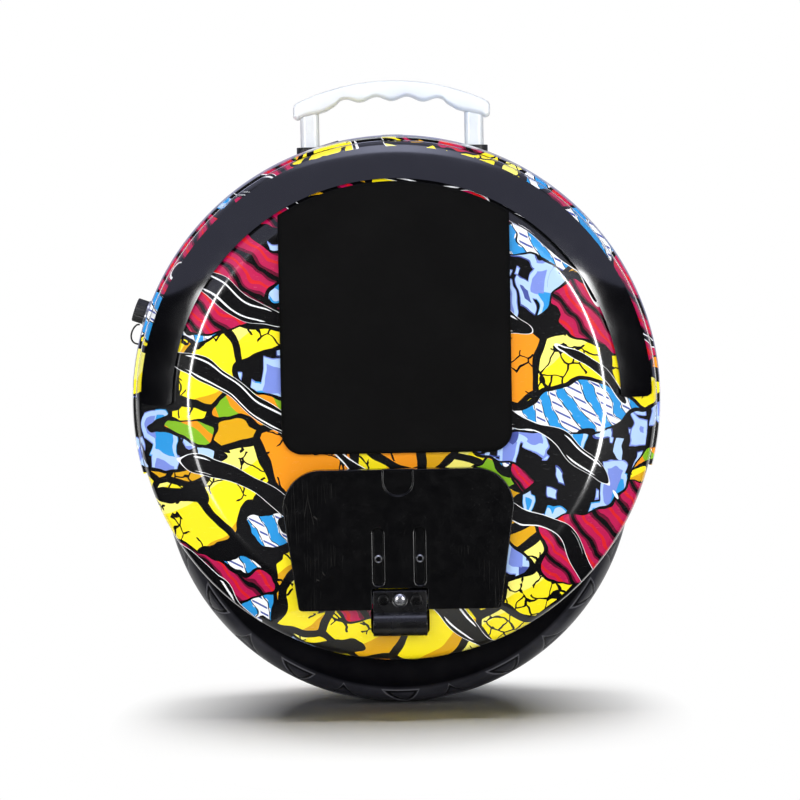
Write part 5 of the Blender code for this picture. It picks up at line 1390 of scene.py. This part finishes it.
points = smooth_route(route, 60)
cord_curve = bpy.data.curves.new("lanyard_curve", "CURVE")
cord_curve.dimensions = "3D"
cord_curve.bevel_depth = lanyard_r
cord_curve.bevel_resolution = 5
cord_curve.use_fill_caps = True
line = cord_curve.splines.new("POLY")
line.points.add(len(points) - 1)
for place, point in zip(line.points, points):
    place.co = (*point, 1.0)
cord_curve.materials.append(moulded)
drawn_cord = bpy.data.objects.new("lanyard_curve", cord_curve)
cord_mesh = bpy.data.meshes.new_from_object(drawn_cord)
bpy.data.objects.remove(drawn_cord)
cord_mesh.polygons.foreach_set("use_smooth", [True] * len(cord_mesh.polygons))
lanyard = bpy.data.objects.new("lanyard_look", cord_mesh)
bpy.context.scene.collection.objects.link(lanyard)
lanyard_length = sum((b - a).length for a, b in zip(points, points[1:]))
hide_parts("lanyard")
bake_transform(lanyard)
print("lanyard", round(lanyard_length * 1000, 1), "mm long")

# %% Power button and battery gauge on the band
top_z = shell_z + band_radius(button_y)
press = rod(power_r, (0, button_y, top_z - 0.007), (0, button_y, top_z), 64, 0.0006)
sink_top(press, 0.0014, 0.0004)
finished("power_look", press, bright, "power_key", ["power_button"])
window = rounded(0.030, 0.009, 0.002, 6, 0, button_y)
window = swung(pressed(window, top_z - 0.0045, top_z, "Z", soft=0.0005), gauge_deg)
lens = new_finish("gauge_lens", tint(26, 27, 31), 0.1, coat=0.6)
along = add(lens, "ShaderNodeSeparateXYZ", {0: place_of(lens, (190, 190, 190))}).outputs[0]
gaps = below(lens, maths(lens, "PINGPONG", along, 0.5), 0.12)
wire(lens, blend(lens, gaps, tint(34, 36, 42), tint(10, 10, 12)), "Base Color")
finished("gauge_look", window, lens, "chassis", ["battery_gauge"])
print("button and gauge")

# %% [markdown]
# ## Finishes for the solids that stay
# The inner solids have the right shape, so they keep it and only get better finishes: moulded
# plastic for the walls, machined and cast metal for the hub, copper for the windings, wrapped
# packs and a lacquered board. Each finish changes a little over the surface.

# %% Give a solid its finish
def dress(finish, *names):
    for name in names:
        solids[name].data.materials.clear()
        solids[name].data.materials.append(finish)


dress(moulded, "wheel_arch", "side_plate_right", "side_plate_left", "tube_clamp")
dress(aluminium, "hub_rim", "motor_cover_right", "motor_cover_left", "heat_sink")
dress(aluminium, "guide_tube_front", "guide_tube_rear")
dress(bright, "axle", "axle_nut_right", "axle_nut_left", "magnet_ring")
dress(bright, "bearing_right", "bearing_left")
dress(rubber, "inner_tube")

# %% Windings, packs, board and light rows
copper = new_finish("copper_windings", tint(176, 100, 52), 0.35, 1.0)
turns = stripes(copper, place_of(copper), 700, 0.6, (0, 0, 0))
wire(copper, blend(copper, turns, tint(186, 108, 58), tint(112, 58, 30)), "Base Color")
roughen(copper, turns, 0.0002, 0.6)
pack_wrap = new_finish("battery_wrap", tint(28, 74, 150), 0.4)
pack_space = place_of(pack_wrap)
shrink = noise(pack_wrap, pack_space, 80, 5, 0.6)
pack_blue = between(pack_wrap, shrink, 0.35, 0.7)
wire(pack_wrap, blend(pack_wrap, pack_blue, tint(24, 66, 140), tint(38, 92, 172)), "Base Color")
roughen(pack_wrap, shrink, 0.0006, 0.5)
board = new_finish("board_green", tint(16, 84, 44), 0.35, coat=0.3)
board_space = place_of(board)
tracks = cells(board, board_space, 260, distance="CHEBYCHEV")
track_edge = cells(board, board_space, 260, "DISTANCE_TO_EDGE").outputs["Distance"]
greens = blend(board, lot_of(board, tracks, 0), tint(12, 74, 38), tint(18, 92, 50))
wire(board, blend(board, below(board, track_edge, 0.08), greens, tint(40, 128, 70)), "Base Color")
glow = new_finish("light_lens", tint(120, 126, 136), 0.12, coat=0.5)
beads = cells(glow, place_of(glow), 130).outputs["Distance"]
bead_tints = tint(96, 100, 108), tint(206, 210, 214)
wire(glow, blend(glow, below(glow, beads, 0.35), *bead_tints), "Base Color")
dress(copper, "stator")
dress(pack_wrap, "battery_front", "battery_rear")
dress(board, "control_board")
dress(glow, "light_strip_right", "light_strip_left")
shown = [o for o in solids.values() if not o.hide_render and len(o.data.materials)]
left_over = [o.name for o in shown if o.data.materials[0].name.endswith("_finish")]
print("solids still plain", left_over)

# %% [markdown]
# ## The floor and the light
# The picture is a studio cut-out on white. A pale floor runs under the wheel and keeps its
# shadow. The world is white to the camera, dimmer and a little blue in reflections, and gives
# only a weak light to the rest, so the shadows stay dark.

# %% Tell the rays that the picture sees
def seen_ray(finish):
    """One for a ray from the camera, off a mirror or through something clear."""
    ray = add(finish, "ShaderNodeLightPath").outputs
    passed_on = maths(finish, "MAXIMUM", ray["Is Glossy Ray"], ray["Is Transmission Ray"])
    return maths(finish, "MAXIMUM", ray["Is Camera Ray"], passed_on)


# %% Lay the floor
floor_shape = bmesh.new()
bmesh.ops.create_grid(floor_shape, x_segments=1, y_segments=1, size=6.0)
floor = as_object("floor", floor_shape)
ground = new_finish("pale_floor", tint(250, 250, 250), 0.9)
shader_of(ground).inputs["Specular IOR Level"].default_value = 0.1
floor.data.materials.append(ground)
reach_out = length_of(ground, place_of(ground, (1.0, 0.7, 1.0), shift=(0.0, 0.05, 0)))
white = add(ground, "ShaderNodeEmission", {"Color": (1, 1, 1, 1), "Strength": 1.0}).outputs[0]
far_off = both(ground, between(ground, reach_out, 0.085, 0.215), seen_ray(ground))
inputs = {0: far_off, 1: shader_of(ground).outputs[0], 2: white}
fade = add(ground, "ShaderNodeMixShader", inputs).outputs[0]
ground.node_tree.links.new(fade, ground.node_tree.nodes["Material Output"].inputs["Surface"])

# %% Light the world
world = bpy.data.worlds.new("studio")
world.use_nodes = True
bpy.context.scene.world = world
weak_light, mirror_loss = 0.07, -0.45
mirrored = add(world, "ShaderNodeLightPath").outputs["Is Glossy Ray"]
power = between(world, seen_ray(world), 0.0, 1.0, weak_light, 1.0)
power = maths(world, "MULTIPLY_ADD", mirrored, mirror_loss, power)
cool = blend(world, mirrored, (1, 1, 1, 1), (0.70, 0.72, 1.0, 1))
backdrop = world.node_tree.nodes["Background"].inputs
world.node_tree.links.new(power, backdrop["Strength"])
world.node_tree.links.new(cool, backdrop["Color"])
print("world light", weak_light)

# %% Hang the lamps
def lamp(name, place, target, width, height, watts):
    data = bpy.data.lights.new(name, "AREA")
    data.shape = "RECTANGLE"
    data.size, data.size_y = width, height
    data.energy = watts
    made = bpy.data.objects.new(name, data)
    bpy.context.scene.collection.objects.link(made)
    turn = (Vector(target) - Vector(place)).to_track_quat("-Z", "Y").to_matrix().to_4x4()
    made.matrix_world = Matrix.Translation(Vector(place)) @ turn
    made.visible_glossy = False
    return made


middle = (0, 0, 0.24)
shadow_lamp = lamp("shadow_lamp", (0.01, 0.22, 1.9), (0, 0, 0.1), 0.8, 0.8, 43)
top_lamp = lamp("top_lamp", (0.0, -0.3, 1.9), middle, 1.0, 1.0, 16)
front_lamp = lamp("front_lamp", (0.0, -2.8, 0.75), middle, 2.4, 1.0, 78)
back_lamp = lamp("back_lamp", (0.5, 2.8, 0.9), middle, 2.0, 1.0, 34)

# %% [markdown]
# Three lamps light the machine but not the floor, and one lights the floor alone. It draws the
# shadow, which stays dark under the tyre and fades within a hand's breadth, as in the photo.

# %% Share the lamps out between the machine and the floor
for hung in (shadow_lamp, top_lamp, front_lamp, back_lamp):
    receivers = bpy.data.collections.new(hung.name + "_receivers")
    receivers.objects.link(floor)
    hung.light_linking.receiver_collection = receivers
    state = "INCLUDE" if hung is shadow_lamp else "EXCLUDE"
    receivers.collection_objects[0].light_linking.link_state = state

# %% [markdown]
# ## What the gloss reflects
# Shiny black shows its surroundings, not the lamps. So the reflections have their own stage: a
# dark card bent round the front, and soft boxes that only mirror rays see. Each of the two tall
# ones glows most along its middle and fades to its sides, and the shells' crease turns it into
# a streak. The one overhead is bluish and lights the upper side of every rounded edge.

# %% Stand the soft boxes
def only_reflected(made):
    made.visible_camera = False
    made.visible_diffuse = False
    made.visible_transmission = False
    made.visible_shadow = False


def soft_box(name, place, width, height, glow, colour=(1, 1, 1, 1)):
    shape = bmesh.new()
    bmesh.ops.create_grid(shape, x_segments=1, y_segments=1, size=0.5)
    made = as_object(name, shape)
    turn = (Vector(place) - Vector(middle)).to_track_quat("Z", "Y").to_matrix().to_4x4()
    size = Matrix.Diagonal((width, height, 1, 1))
    made.matrix_world = Matrix.Translation(Vector(place)) @ turn @ size
    light = new_finish(name + "_glow", (0, 0, 0, 1), 1.0)
    across = add(light, "ShaderNodeSeparateXYZ", {0: place_of(light)}).outputs[0]
    edge = between(light, maths(light, "ABSOLUTE", across), 0.05, 0.5, 1.0, 0.0)
    shader_of(light).inputs["Emission Color"].default_value = colour
    wire(light, both(light, maths(light, "POWER", edge, 1.4), glow), "Emission Strength")
    made.data.materials.append(light)
    only_reflected(made)


soft_box("top_soft_box", (0, -0.62, 1.6), 2.2, 0.6, 3.5, (0.72, 0.75, 1.0, 1))
soft_box("left_soft_box", (-1.29, -2.02, 0.48), 0.54, 0.93, 34)
soft_box("right_soft_box", (1.29, -2.02, 0.53), 0.54, 1.00, 38)

# %% [markdown]
# Below the height of the camera an upright edge mirrors the floor, not the boxes. So each box
# also lights a narrow wedge of floor in front of it, which draws the lit sides of the pedal's
# grooves. The right one is much the brighter.

# %% Light the floor in front of each box
def floor_wedge(name, azimuth, half, near, far, glow):
    shape = bmesh.new()
    corners = []
    for reach, turn in ((near, -half), (far, -half), (far, half), (near, half)):
        a = math.radians(azimuth + turn)
        place = (reach * math.sin(a), -reach * math.cos(a), 0.012 + 0.008 * reach)
        corners.append(shape.verts.new(place))
    shape.faces.new(corners)
    made = as_object(name, shape)
    light = new_finish(name + "_glow", (0, 0, 0, 1), 1.0)
    shader_of(light).inputs["Emission Color"].default_value = (1, 1, 1, 1)
    shader_of(light).inputs["Emission Strength"].default_value = glow
    made.data.materials.append(light)
    only_reflected(made)


floor_wedge("left_wedge", -32, 7, 0.65, 2.2, 8)
floor_wedge("right_wedge", 32, 8, 0.90, 2.2, 28)

# %% Bend the dark card
card_shape = bmesh.new()
card_path = ((0.17, 0, 0.004), (3.0, 0, 0.02), (3.0, 0, 1.25))
corners = [card_shape.verts.new(place) for place in card_path]
card_edges = [card_shape.edges.new(pair) for pair in zip(corners, corners[1:])]
way = {"cent": (0, 0, 0), "axis": (0, 0, -1), "angle": math.pi}
bmesh.ops.spin(card_shape, geom=corners + card_edges, steps=48, **way)
card = as_object("dark_card", card_shape)
card.data.materials.append(new_finish("card_black", tint(6, 6, 6), 0.95))
only_reflected(card)
